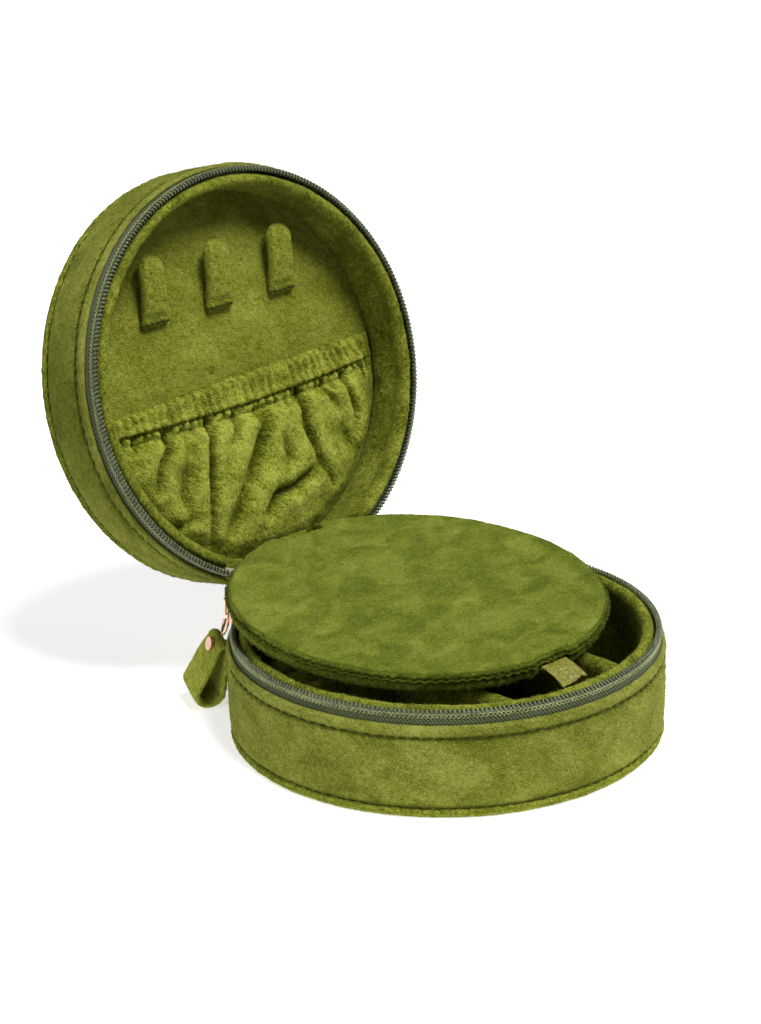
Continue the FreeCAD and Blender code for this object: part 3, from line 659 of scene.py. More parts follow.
WALL_TONES = ((0.052, 0.062, 0.005), (0.150, 0.164, 0.018), (0.290, 0.310, 0.066))
DEEP_TONES = ((0.028, 0.036, 0.002), (0.130, 0.148, 0.010), (0.310, 0.335, 0.050))
# The panel and pocket tones are lighter copies of the same velvet: painted light that brightens the lid's
# inside and the surfaces sharing these tones.
PANEL_LIT_TONES = ((0.066, 0.078, 0.004), (0.192, 0.208, 0.018), (0.350, 0.372, 0.070))
POCKET_LIT_TONES = ((0.036, 0.046, 0.002), (0.170, 0.190, 0.014), (0.390, 0.420, 0.070))
DISC_TONES = ((0.044, 0.058, 0.003), (0.116, 0.144, 0.012), (0.240, 0.275, 0.045))

VELVET_WALLS = {
    half: velvet("velvet_wall_" + half, WALL_TONES, 0.30, -1.2, 12.0, 0.75, 0.8) for half in HALVES
}
VELVET_DISC = velvet("velvet_disc", DISC_TONES, 0.28, -1.2, 9.0, 0.85, 0.8)
VELVET_LINING = velvet("velvet_lining", DEEP_TONES, 0.40, -0.6, 11.0, 0.6, 0.9)
VELVET_PANEL = velvet("velvet_panel", PANEL_LIT_TONES, 0.32, -0.93, 12.0, 0.5, 0.9)
VELVET_POCKET = velvet("velvet_pocket", POCKET_LIT_TONES, 0.36, -0.6, 9.0, 0.7, 0.95)
VELVET_EDGE = velvet("velvet_edge", DEEP_TONES, 0.38, -0.8, 5.0, 0.5, 0.9)
TAPE = twill("zip_twill", (0.016, 0.024, 0.006), (0.105, 0.130, 0.050), TAPE_PITCH, TAPE_SLANT)
COIL = plain_fibre(
    "zip_nylon", (0.036, 0.048, 0.016), (0.150, 0.172, 0.078), 900.0, 0.34, 0.00003, Coat_Weight=0.2
)
ZIP_STITCH = plain_fibre("zip_stitch", (0.10, 0.12, 0.045), (0.36, 0.39, 0.17), 1500.0, 0.7)
THREAD = plain_fibre(
    "thread", (0.016, 0.024, 0.002), (0.055, 0.072, 0.008), 2500.0, 0.9, Specular_IOR_Level=0.05
)
TEAL_THREAD = plain_fibre(
    "teal_thread", (0.002, 0.014, 0.009), (0.008, 0.036, 0.024), 2500.0, 0.9, Specular_IOR_Level=0.05
)
CARD = plain_fibre("grey_board", (0.32, 0.27, 0.20), (0.55, 0.47, 0.36), 700.0, 0.9)
FOAM = plain_fibre("open_foam", (0.62, 0.60, 0.52), (0.86, 0.84, 0.78), 1400.0, 0.95, 0.0003)
ELASTIC = plain_fibre("elastic_band", (0.50, 0.50, 0.46), (0.80, 0.80, 0.76), 1200.0, 0.8)
ROSE_GOLD = metal("rose_gold", (0.62, 0.34, 0.24), (0.86, 0.55, 0.42), 0.22)
STUD_METAL = metal("stud_metal", (0.42, 0.42, 0.40), (0.66, 0.66, 0.63), 0.3)
RIBBON = satin("ribbon_satin", (0.080, 0.076, 0.006), (0.34, 0.325, 0.060))


# --------------------------------------------------------------------------- outer shells
def stitches(name, half, radius, depth, pitch, length, thick):
    """A row of sewn stitches round a half."""
    count = int(TURN * radius / pitch)
    half_span = math.degrees(length / 2 / radius)
    sink = np.array([-0.22, 0.0, 0.07, 0.0, -0.22])
    paths = []
    for index in range(count):
        middle = (index + 0.5) * 360 / count
        degrees = np.linspace(middle - half_span, middle + half_span, 5)
        paths.append(around(radius + sink, depth + 0.05 * chance(index, 7, 1, 3), degrees))
    threads(name, HALVES[half], paths, thick, THREAD, half)


def outer_wall(half):
    """Velvet wall: folded rim, stitched channel below it, soft bulge, groove above the piping."""
    deep, rim = HALF_DEPTH[half], RIM_DEPTH
    outline = [
        (57.05, rim + 1.2), (57.1, rim + 0.3), (57.5, rim - 0.15), (58.05, rim + 0.1), (58.4, rim + 0.9),
        (58.35, rim + 2.0), (58.0, rim + 2.9), (57.78, rim + 3.4), (58.0, rim + 3.95), (58.3, rim + 5.2),
        (58.4, deep * 0.45), (58.3, deep * 0.65), (58.1, deep - 4.6), (57.8, deep - 3.4), (57.2, deep - 2.75),
        (56.6, deep - 3.0), (56.5, deep - 5.0), (56.5, deep * 0.5), (56.6, rim + 4.0),
    ]
    grid = turned(curve(outline, 0.42 / FINE, closed=True), int(800 * FINE))
    run, depth = run_round(grid, CASE_RADIUS), grid[..., 2]
    below = depth - rim
    outer = smooth_step(reach(grid), 57.2, 57.7)
    pucker = 0.10 * bell(below - RIM_STITCH, 1.5) * np.cos(TURN * run / 3.1)
    waves = 0.22 * flat_noise(run / 17, depth / 11, 11)
    lift = 0.16 * bell(below - 0.6, 1.0) * flat_noise(run / 6, 0, 5)
    grid = plush(pushed(grid, outer * (pucker + waves + lift)), True, True, 0.075, seed=3)
    # The wall's tone is painted shade in the stitch groove and the groove above the piping, and a painted
    # highlight on the puffy rim band above the stitches.
    groove = bell(below - RIM_STITCH, 0.55) + bell(depth - deep + 3.1, 0.5)
    band = smooth_step(below, 3.2, 2.4)
    weave = surface_map(grid, outer * (0.10 * band - 0.34 * groove))
    mesh = Mesh(HALVES[half]).grid(grid, weave, ring=True)
    mask = outer * (0.22 + 0.78 * np.maximum(band, bell(below - 4.4, 0.7)))
    mesh.fluff(grid, weave, mask, 1.7, comb=(0.5, -0.75), seed=4)
    keep(mesh.build(half + "_velvet_wall", VELVET_WALLS[half]), half, [half + "_outer_wall"])
    stitches(half + "_rim_stitches", half, 57.93, rim + RIM_STITCH, 3.1, 2.3, 0.17)


def piping(half):
    """Rolled welt round the flat side, a little proud of the wall, with its stitches above it."""
    deep = HALF_DEPTH[half]
    turn = np.linspace(0, TURN, int(24 * FINE) + 4, endpoint=False)
    profile = np.stack([56.75 + 1.32 * np.cos(turn), deep - 1.36 + 1.28 * np.sin(turn)], axis=-1)
    grid = turned(profile, int(900 * FINE))
    run = run_round(grid, 58.0)
    swell = 0.10 * flat_noise(run / 5.5, 0, 8) + 0.05 * np.cos(run * TURN / 3.3)
    grid = plush(pushed(grid, swell * (grid[..., 2] < deep - 0.6)), True, True, 0.085, seed=23)
    deepest = deep - 0.03 + (0.5 if half == "lid" else 0.0)
    grid[..., 2] = np.minimum(grid[..., 2], deepest)
    weave = surface_map(grid, 0.04)
    mesh = Mesh(HALVES[half]).grid(grid, weave, ring=True)
    outside = (reach(grid) > 56.9) & (grid[..., 2] < deep - 1.5)
    mesh.fluff(grid, weave, outside, 0.9, comb=(0.8, 0.2), seed=24)
    keep(mesh.build(half + "_velvet_piping", VELVET_EDGE), half, [half + "_piping"])
    stitches(half + "_piping_stitches", half, 57.45, deep - 2.72, 3.3, 2.2, 0.16)


def flat_cover(half):
    """Velvet over the card of the bottom or the back."""
    deep = HALF_DEPTH[half]
    crown = 0.9 if half == "lid" else -0.25
    outline = [
        (0.0, deep + crown), (20, deep + crown * 0.9), (40, deep + crown * 0.6), (50, deep + crown * 0.25),
        (54.6, deep - 0.35), (55.5, deep - 0.9), (54.5, deep - 1.25), (40, deep - 1.2), (0.0, deep - 1.2),
    ]
    grid = plush(disc_grid(outline, int(560 * FINE), 0.75 / FINE), True, False, 0.07, seed=31)
    if half == "base":
        grid[..., 2] = np.minimum(grid[..., 2], deep - 0.05)
    grid = grid.transpose(1, 0, 2)
    piece = Mesh(HALVES[half]).grid(grid, flat_map(grid)).build(half + "_velvet_cover", VELVET_DISC)
    keep(piece, half, [half + "_flat_cover"])


# --------------------------------------------------------------------------- zip
def zip_tape(half):
    """Ribbed tape that leans in from the velvet's rim to the coil; it ends each side of the hinge."""
    rim = RIM_DEPTH
    first, last = COIL_END - 1.5, 360 - COIL_END + 1.5
    front = curve([
        (56.9, rim + 3.5), (57.0, rim + 1.0), (57.05, rim - 0.2), (56.95, 1.9), (56.7, 1.0), (56.45, 0.35),
        (56.2, 0.05),
    ], 0.28 / FINE)
    back = curve([(55.9, 0.3), (56.1, 1.0), (56.4, 2.0), (56.55, rim), (56.5, rim + 3.5)], 0.9 / FINE)
    profile = np.vstack([front, back])
    count = int(1500 * FINE)
    along = np.radians(np.linspace(first, last, count))[:, None] * COIL_RADIUS
    across = distances(profile)[None]
    ribs = np.sin(TURN * (along + TAPE_SLANT * across) / TAPE_PITCH) * (np.arange(len(profile)) < len(front))
    wander = 0.12 * flat_noise(along / 14, 0, 41) * smooth_step(profile[None, :, 1], rim, 0.5)
    grid = pushed(turned(profile, count, first, last), 0.055 * ribs + wander)
    piece = Mesh(HALVES[half]).grid(grid, woven(along, across)).build(half + "_zip_tape", TAPE)
    keep(piece, half, ["zip_tape_" + half])


def zip_coil(half):
    """Nylon coil wound as a real helix on its core, with its two rows of stitching."""
    place, pitch = HALVES[half], 1.13
    first, span = COIL_END, 360 - 2 * COIL_END
    turns = int(math.radians(span) * COIL_RADIUS / pitch)
    steps = 10 if FINE == 1 else 6
    middle = COIL_RADIUS + 0.15
    wound = np.arange(turns * steps + 1) / steps
    radius, depth = middle + 0.62 * np.cos(TURN * wound), -0.08 + 0.80 * np.sin(TURN * wound)
    mesh = tubes(Mesh(place), [around(radius, depth, first + span * wound / turns)], 0.27)
    tubes(mesh, [around(middle, 0.0, first + span * np.linspace(0, 1, 400))], 0.42)
    keep(mesh.build(half + "_zip_coil", COIL), half, ["zip_coil_" + half])
    wound = np.arange(turns * 4 + 1) / 4
    paths = []
    for row, (out, level) in enumerate(((0.93, 0.28), (0.80, 0.95))):
        phase = TURN * wound + row * 1.6
        radius, depth = COIL_RADIUS + out + 0.06 * np.sin(phase), level + 0.30 * np.cos(phase)
        paths.append(around(radius, depth, first + span * wound / turns))
    threads(half + "_zip_stitching", place, paths, 0.17, ZIP_STITCH, half, 5, 0.0)


# --------------------------------------------------------------------------- linings
def lining_wall(half):
    """Padded lining wall with a rounded lip, dipped at the hinge where the flap passes."""
    bottom = (FLOOR_DEPTH if half == "base" else PANEL_DEPTH) - 0.1
    outline = [
        (51.75, 2.6), (51.85, 1.0), (52.3, -0.1), (53.1, -0.75), (53.9, -0.8), (54.65, -0.2), (54.95, 0.9),
        (54.6, 2.6), (54.0, 5.0), (53.9, bottom * 0.6), (53.9, bottom), (52.6, bottom), (51.7, bottom - 0.5),
        (51.35, bottom - 2.2), (51.3, bottom * 0.62), (51.55, bottom * 0.34 + 1.0),
    ]
    grid = turned(curve(outline, 0.45 / FINE, closed=True), int(720 * FINE))
    run, depth = run_round(grid, LINING_RADIUS), grid[..., 2].copy()
    dip = 5.7 * smooth_step(np.abs(np.degrees(run / LINING_RADIUS)), 30.0, 23.0)
    grid[..., 2] += dip * np.clip((bottom - depth) / (bottom + 0.8), 0, 1) ** 1.6
    inner = smooth_step(reach(grid), 53.4, 52.2)
    soft = 0.28 * flat_noise(run / 15, depth / 9, 51) - 0.10
    grid = pushed(grid, -soft * inner * smooth_step(depth, 1.5, 5.0))
    lip = bell(depth + 0.6, 1.4)
    grid[..., 2] += 0.16 * lip * flat_noise(run / 5, 0, 52)
    grid = plush(grid, True, True, 0.10, seed=53)
    # The lip's lighter tone is a painted highlight on the rounded top that catches the light.
    weave = surface_map(grid, 0.05 * lip)
    mesh = Mesh(HALVES[half]).grid(grid, weave, ring=True)
    mesh.fluff(grid, weave, 0.1 * inner + lip, 1.5, comb=(0.6, 0.3), seed=54)
    piece = mesh.build(half + "_velvet_lining", VELVET_LINING)
    keep(piece, half, [half + "_lining_wall"])


def lining_floor():
    """Velvet floor of the base."""
    low, high = BASE.box("base_lining_floor")
    outline = [
        (0, low[2]), (25, low[2] + 0.1), (50, low[2]), (high[0] - 0.8, low[2] + 0.1), (high[0], low[2] + 0.8),
        (high[0] - 0.8, high[2]), (30, high[2]), (0, high[2]),
    ]
    grid = plush(disc_grid(outline, int(420 * FINE), 0.8 / FINE), True, False, 0.08, seed=61)
    grid = grid.transpose(1, 0, 2)
    piece = Mesh(BASE).grid(grid, flat_map(grid)).build("base_velvet_floor", VELVET_PANEL)
    keep(piece, "base", ["base_lining_floor"])


def lid_panel():
    """Velvet panel in the lid, with one small sewn dimple above the pocket."""
    low, high = LID.box("lid_lining_panel")
    outline = [
        (0, low[2]), (25, low[2]), (48, low[2]), (high[0] - 0.8, low[2] + 0.1), (high[0], low[2] + 1.0),
        (high[0] - 0.8, high[2]), (30, high[2]), (0, high[2]),
    ]
    dimple = np.array([-6.3, -2.6, 0.0])
    grid = disc_grid(outline, int(640 * FINE), 0.5 / FINE)
    front = grid[..., 2] < low[2] + 0.6
    grid[..., 2] += np.where(front, 0.16 * noise(grid, 11.0, 71), 0)
    grid[..., 2] += np.where(front, 0.45 * bell(reach(grid - dimple), 1.3), 0)
    grid = plush(grid, True, False, 0.085, seed=72).transpose(1, 0, 2)
    # The dimple's middle is painted darker: painted shade in its hollow.
    mesh = Mesh(LID).grid(grid, flat_map(grid, -0.3 * bell(reach(grid - dimple), 1.0)))
    keep(mesh.build("lid_velvet_panel", VELVET_PANEL), "lid", ["lid_lining_panel"])


# --------------------------------------------------------------------------- lofts
def rounded_section(wide, tall, corner, count):
    """A closed rounded rectangle, middle at the origin."""
    wide, tall = wide / 2, tall / 2
    corner = min(corner, wide * 0.98, tall * 0.98)
    x, y = wide - corner, tall - corner
    middles = ((x, y), (-x, y), (-x, -y), (x, -y))
    points = np.vstack([arc(spot, corner, 90 * k, 90 * k + 90, 7) for k, spot in enumerate(middles)])
    return spread(np.vstack([points, points[:1]]), count, endpoint=False)


def ring_at(middle, section, across=0):
    """A section's points in space: its width along x, or y where across is 1, and its height along z."""
    ring = np.tile(np.array(middle, float), (len(section), 1))
    ring[:, across] += section[:, 0]
    ring[:, 2] += section[:, 1]
    return ring


def loft(
    name, place, stations, section, material, body, node,
    height=0.09, seed=0, across=0, pile=0.0, tone=0.0,
):
    """A closed plush form in place of a node: each station is a share of its length and its middle there."""
    grid = np.array([ring_at(middle, section(share), across) for share, middle in stations])
    grid = plush(grid, False, True, height, seed=seed)
    weave = surface_map(grid, tone)
    mesh = Mesh(place).grid(grid, weave)
    if pile:
        mesh.fluff(grid, weave, np.ones(grid.shape[:2]), pile, comb=(-0.7, 0.3), seed=seed)
    keep(mesh.build(name, material), body, [node])


def end_round(share, length, radius):
    """How far a rounded end has grown at share of the length, from 0 to 1."""
    away = min(share, 1 - share) * length
    return 1.0 if away >= radius else math.sqrt(max(0.0, 1 - (1 - away / radius) ** 2))


def even_shares(length, spacing, end):
    """Shares along a loft, closer together at its rounded ends."""
    inside = np.linspace(end / length, 1 - end / length, max(3, int((length - 2 * end) / spacing)))
    ends = (1 - np.cos(np.linspace(0, math.pi / 2, 7)[:-1])) * end / length
    return np.concatenate([ends, inside, 1 - ends[::-1]])


def straight_loft(node, axis, wide, tall, corner, seed, end=1.6, dome=0.0):
    """A plush bar along x or y in the place of a CAD node's box."""
    low, high = row_box(node)
    length = high[axis] - low[axis]
    count = int(max(24, (wide + tall) * 2 / 0.5) * FINE)
    stations = []
    for share in even_shares(length, 0.55 / FINE, end):
        spot = (low + high) / 2
        spot[axis] = low[axis] + share * length
        stations.append((share, spot))

    def section(share):
        grown = max(0.25, end_round(share, length, end))
        ring = rounded_section(wide * grown, tall - end * 0.9 * (1 - grown), corner, count)
        wobble = 0.25 * noise(np.array([[share * length / 9, seed, 0.0]]), 1, seed)[0]
        ring[:, 0] += wobble * smooth_step(ring[:, 1], -tall / 2, tall / 2)
        ring[:, 1] += dome * math.sin(math.pi * share) * smooth_step(ring[:, 1], 0, tall / 2)
        return ring

    loft(node + "_velvet", ROW, stations, section, VELVET_EDGE, "base", node, 0.11, seed, 1 - axis)


def base_inside():
    """Dividers, ring rolls and the rolls' shelf."""
    low, high = row_box("cross_divider")
    tall, thick = high[2] - low[2], high[1] - low[1] + 0.5
    straight_loft("cross_divider", 0, thick, tall, 2.3, 81, dome=-0.7)
    for side in ("left", "right"):
        straight_loft("front_divider_" + side, 1, thick, tall, 2.3, 84 + len(side), dome=-0.5)
    for index in range(1, 5):
        node = "ring_roll_%d" % index
        low, high = row_box(node)
        wide = high[1] - low[1]
        straight_loft(node, 0, wide + 0.35, high[2] - low[2], wide / 2, 90 + index, end=3.2)
    ring_shelf()


def ring_shelf():
    """Foam shelf under the ring rolls, wrapped in velvet: its ends show beside the rolls."""
    low, high = row_box("ring_roll_shelf")
    length, tall = high[1] - low[1], high[2] - low[2]
    radius = math.hypot(high[0], low[1])
    shares = np.linspace(0.0, 0.985, int(60 * FINE) + 8)
    stations = [(share, [0, low[1] + share * length, (low[2] + high[2]) / 2]) for share in shares]

    def section(share):
        half_wide = math.sqrt(max(1.0, radius**2 - (low[1] + share * length) ** 2))
        grown = 1 - 0.06 * max(0.0, 1 - share * length / 1.5)
        return rounded_section(2 * half_wide, tall * grown, 1.2, int(260 * FINE))

    loft("ring_shelf_velvet", ROW, stations, section, VELVET_PANEL, "base", "ring_roll_shelf", 0.08, 97)


# --------------------------------------------------------------------------- straps
def strap(side):
    """Snap strap: a plump plush finger, rounded at its free end and sewn down at the other."""
    node = "strap_" + side
    place = Place(disc_axes(node, LID.axes[2]))
    low, high = place.box(node)
    middle = (low + high) / 2
    wide, length, thick = high - low + np.array([-0.3, 0.6, 0.9])
    tip = wide / 2
    shares = np.concatenate([
        (1 - np.cos(np.linspace(0, math.pi / 2, 14)[:-1])) * tip / length,
        np.linspace(tip / length, 0.95, int(26 * FINE) + 4), [0.98, 1.0],
    ])
    stations = []
    for share in shares:
        bend = -0.5 * math.sin(math.pi * share) + 0.7 * share**3
        stations.append((share, [middle[0], low[1] + share * length, middle[2] + bend]))

    def section(share):
        away = share * length
        grown = 1.0 if away >= tip else math.sqrt(max(0.02, 1 - (1 - away / tip) ** 2))
        closing = 1 - 0.3 * float(smooth_step(share, 0.9, 1.0))
        waist = 1 - 0.07 * math.sin(math.pi * share)
        tall = thick * max(0.45, grown**0.5) * closing
        return rounded_section(wide * grown * waist, tall, 1.45, int(72 * FINE))

    seed = 101 + len(side)
    loft(node + "_velvet", place, stations, section, VELVET_EDGE, node, node, 0.08, seed, 0, 0.5, 0.14)


def anchor_fold(low, high, seed):
    """One strap's foot: a short fold that gets thinner toward its stitches."""
    wide, length, tall = high - low
    rings = []
    for share in np.concatenate([[0.0, 0.04], np.linspace(0.12, 0.88, 8), [0.96, 1.0]]):
        grown = max(0.55, end_round(share, length, 1.0))
        thick = tall - 1.3 * smooth_step(share, 0.35, 1.0)
        section = rounded_section(wide * (0.93 + 0.07 * grown), thick * grown, 1.0, int(64 * FINE))
        rings.append(ring_at([(low[0] + high[0]) / 2, low[1] + share * length, high[2] - thick / 2], section))
    return plush(np.array(rings), False, True, 0.09, seed=seed)


def strap_anchors():
    """Sewn feet of the straps: short plush folds held down by dark teal stitches."""
    mesh = Mesh(LID)
    paths = []
    points = LID.into(node_points("strap_anchors"))
    for index, side in enumerate(SIDES):
        strap_low, strap_high = LID.box("strap_" + side)
        mine = points[np.abs(points[:, 0] - (strap_low[0] + strap_high[0]) / 2) < 8]
        low, high = mine.min(0), mine.max(0)
        grid = anchor_fold(low, high, 111 + index)
        weave = surface_map(grid)
        mesh.grid(grid, weave)
        mesh.fluff(grid, weave, np.ones(grid.shape[:2]), 1.1, seed=114 + index)
        line = np.linspace(-0.75, 0.75, 5)
        for start in np.linspace(low[0] + 1.0, high[0] - 1.0, 5):
            rise = low[2] + 0.28 + np.array([0.25, 0.02, -0.08, 0.02, 0.25])
            paths.append(np.stack([start + line, low[1] + 1.6 + 0.15 * line, rise], -1))
    keep(mesh.build("strap_anchor_folds", VELVET_EDGE), "lid", ["strap_anchors"])
    threads("strap_anchor_stitches", LID, paths, 0.17, TEAL_THREAD, "lid")


# --------------------------------------------------------------------------- gathered pocket
# Creases in the lid's frame: how deep, how wide, and the points each runs through.
CREASES = [
    (2.3, 1.15, [(-15.3, 8.6), (-15.6, 12.0), (-17.6, 18.7), (-19.7, 29.6), (-21.8, 43.5)]),
    (1.7, 2.10, [(4.6, 13.0), (1.8, 18.0), (-3.6, 25.0), (-8.8, 32.8), (-17.0, 44.4)]),
    (1.5, 1.20, [(-29.3, 8.6), (-30.2, 14.0), (-33.6, 17.4), (-36.6, 23.7)]),
    (1.6, 1.35, [(17.6, 8.0), (18.3, 11.9), (17.4, 18.7), (19.8, 28.7), (23.8, 36.8)]),
    (1.9, 1.80, [(-1.0, 39.0), (3.0, 34.9), (9.0, 34.6), (14.6, 32.9), (18.4, 31.0)]),
    (1.3, 1.30, [(36.0, 6.6), (36.5, 13.1), (37.4, 19.6), (36.2, 25.0)]),
    (1.2, 1.10, [(-4.9, 8.6), (-5.6, 12.0), (-9.2, 17.5)]),
    (1.1, 1.10, [(27.8, 7.2), (28.5, 12.0), (30.4, 17.0)]),
    (0.9, 1.50, [(-39.0, 38.0), (-32.4, 36.1), (-25.4, 34.9)]),
    (1.3, 2.80, [(31.0, 24.0), (32.9, 26.8), (35.8, 31.1)]),
    (1.0, 1.60, [(-27.0, 22.0), (-28.5, 28.0), (-27.5, 34.0)]),
    (0.9, 1.50, [(8.5, 20.0), (9.5, 25.0), (7.5, 30.0)]),
]


def crease(x, y, depth, width, points):
    """How far a crease and the soft ridges beside it move the cloth toward the panel."""
    points = np.array(points, float)
    nearest = np.full(x.shape, 1e9)
    place = np.zeros(x.shape)
    for index, (a, b) in enumerate(zip(points, points[1:])):
        step = b - a
        share = np.clip(((x - a[0]) * step[0] + (y - a[1]) * step[1]) / (step @ step), 0, 1)
        away = np.hypot(x - a[0] - share * step[0], y - a[1] - share * step[1])
        closer = away < nearest
        nearest = np.where(closer, away, nearest)
        place = np.where(closer, (index + share) / (len(points) - 1), place)
    fade = 0.35 + 0.65 * np.sin(math.pi * np.clip(place * 0.86 + 0.12, 0, 1))
    valley = bell(nearest, 0.8 * width)
    ridge = 0.42 * bell(nearest - 2.5 * width, 1.6 * width)
    return 1.6 * depth * fade * (valley - ridge)


def pocket_lines(x):
    """The pocket's top edge and its stitch line, across the lid."""
    columns = [-51, -43, -20, 0, 25, 47, 51]
    top = np.interp(x, columns, [3.2, 2.7, 1.3, 0.3, -0.6, -1.0, -1.0])
    seam = np.interp(x, columns, [8.3, 8.1, 8.3, 8.2, 7.1, 5.8, 5.6])
    return top, seam


def pocket_folds(x, y, below):
    """All creases, and the short gathers that start at the stitch line."""
    folds = np.zeros(x.shape)
    for depth, width, points in CREASES:
        folds += crease(x, y, depth, width, points) * smooth_step(below, -0.5, 1.5)
    start = -48.5
    index = 0
    while start < 48:
        long = 3.6 + 2.6 * chance(index, 3, 5, 9)
        lean = 1.5 * chance(index, 1, 2, 9)
        seam = float(pocket_lines(start)[1])
        folds += crease(x, y, 0.75, 0.62, [(start, seam), (start + lean, seam + long)])
        start += POCKET_STITCH + 0.55 * chance(index, 8, 8, 9)
        index += 1
    return folds


def pocket_front(radius, back):
    """The pocket's front as a grid, the tone of its pile with painted shade and highlight in it, and where it
    is below its casing.
    """
    nu, nv = int(460 * FINE), int(250 * FINE)
    crowding = math.pi / 2 * 0.93
    across = np.sin(np.linspace(-1, 1, nu) * crowding) / math.sin(crowding)
    x = across[:, None] * (radius - 0.25) + np.zeros((1, nv))
    top, seam = pocket_lines(x)
    bottom = np.maximum(np.sqrt(np.maximum(radius**2 - x**2, 0)), seam + 0.5)
    y = top + (bottom - top) * np.linspace(0, 1, nv)[None]
    spot = np.stack([x, y, 0 * x], -1)
    rise = smooth_step(radius - np.hypot(x, y), -0.6, 5.5) ** 0.8
    below = y - seam
    lower = smooth_step(below, -0.4, 0.5)
    bow = np.clip(1 - (np.abs(x) / radius) ** 2.6, 0, 1)
    casing = (1.5 + 3.2 * bow) * smooth_step(y - top, -2.2, 1.6)
    puff = (2.6 + 3.0 * bow) * smooth_step(below, -0.2, 6.5) * (1 - 0.35 * smooth_step(y, 26, 48))
    height = casing * (1 - lower) + np.maximum(casing * 0.75 * (1 - smooth_step(below, 0, 6)), puff) * lower
    crumple = 0.55 * noise(spot, (9.0, 13.0, 1.0), 122) + 0.3 * noise(spot, 4.5, 123)
    folds = pocket_folds(x, y, below)
    puckers = np.cos(TURN * (x + 1.2 * noise(spot, 6.0, 125)) / 2.9)
    height += crumple * smooth_step(below, 1.0, 8.0) - folds
    height += (0.38 * puckers * smooth_step(y - top, 0.2, 1.8) + 0.25 * noise(spot, 2.6, 129)) * (1 - lower)
    sewn = bell(below, 0.45)
    height = rise * (height - 0.6 * sewn)
    grid = plush(np.stack([x, y, back - 0.85 - np.maximum(height, 0.0)], -1), False, False, 0.10, -1.0, 126)
    # The tone is painted shade and highlight: darker dashes in the sunken stitch line, darker where the cloth
    # lies low, a lighter casing with lighter pucker crests, and darker creases with lighter ridges beside
    # them.
    dashes = 0.6 + 0.4 * np.cos(TURN * x / POCKET_STITCH)
    tone = -0.21 * dashes * sewn - 0.05 * smooth_step(height, 3.0, 1.0) * lower
    tone += (1 - lower) * (0.03 + 0.055 * puckers) - np.clip(0.11 * folds, -0.14, 0.30)
    return grid, tone, lower, x[:, 0]


def pocket():
    """Gathered pocket: a puckered casing over its elastic, and loose folds below it."""
    radius = LID.box("lid_pocket")[1][0] - 0.1
    back = PANEL_DEPTH - 0.2
    front, tone, lower, columns = pocket_front(radius, back)
    behind = front + np.array([0, 0, 0.75])
    behind[..., 2] = np.minimum(behind[..., 2], back + 0.15)
    lip = []
    for step in range(4):
        rolled = np.array([0, 0.9, 1.2]) * (step / 3) ** 2
        lip.append(front[:, 0] + np.array([0, -0.45, 0.25 + step * 0.5]) + rolled)
    lip = np.stack(lip, axis=1)
    closed = np.concatenate([front, behind[:, ::-1], lip[:, ::-1]], axis=1)
    # The rolled top lip is painted darker: painted shade along the pocket's top edge.
    tones = np.concatenate([tone, tone[:, ::-1], np.full(lip.shape[:2], -0.12)], axis=1)
    mesh = Mesh(LID).grid(closed, flat_map(closed, tones))
    pile = 1 - 0.55 * lower
    mesh.fluff(front, flat_map(front, tone), pile, 2.0, out=-1.0, length=0.6, comb=(0.25, 0.75), seed=127)
    piece = mesh.build("lid_gathered_pocket", VELVET_POCKET)
    keep(piece, "lid", ["lid_pocket"])
    pocket_stitches(front, columns)
    pocket_band(front, columns)


def on_pocket(front, columns, x, y):
    """A point of the pocket's front near an x and a y."""
    column = int(np.clip(np.searchsorted(columns, x), 1, len(columns) - 2))
    row = int(np.argmin(np.abs(front[column, :, 1] - y)))
    return front[column, row].copy()


def pocket_stitches(front, columns):
    """The row of stitches, each sunk in its dimple, that closes the casing."""
    paths = []
    for start in np.arange(-47.0, 46.0, POCKET_STITCH):
        spots = np.linspace(start, start + 1.5, 5)
        path = np.array([on_pocket(front, columns, spot, pocket_lines(spot)[1]) for spot in spots])
        path[:, 2] += STITCH_ARCH
        paths.append(path)
    threads("pocket_stitches", LID, paths, 0.16, THREAD, "lid", sides=5)


def pocket_band(front, columns):
    """Elastic band inside the casing."""
    rows = []
    for spot in np.linspace(-44, 44, int(80 * FINE) + 8):
        top, seam = pocket_lines(spot)
        levels = [top + (seam - top) * share for share in (0.25, 0.45, 0.65, 0.8)]
        rows.append([on_pocket(front, columns, spot, level) for level in levels])
    face = np.array(rows)
    face[..., 2] = np.minimum(face[..., 2].max(1, keepdims=True) + 0.95, PANEL_DEPTH - 0.75)
    behind = face + np.array([0, 0, 0.45])
    mesh = Mesh(LID).grid(np.concatenate([face, behind[:, ::-1]], axis=1))
    keep(mesh.build("pocket_elastic_band", ELASTIC), "lid", ["pocket_elastic"])


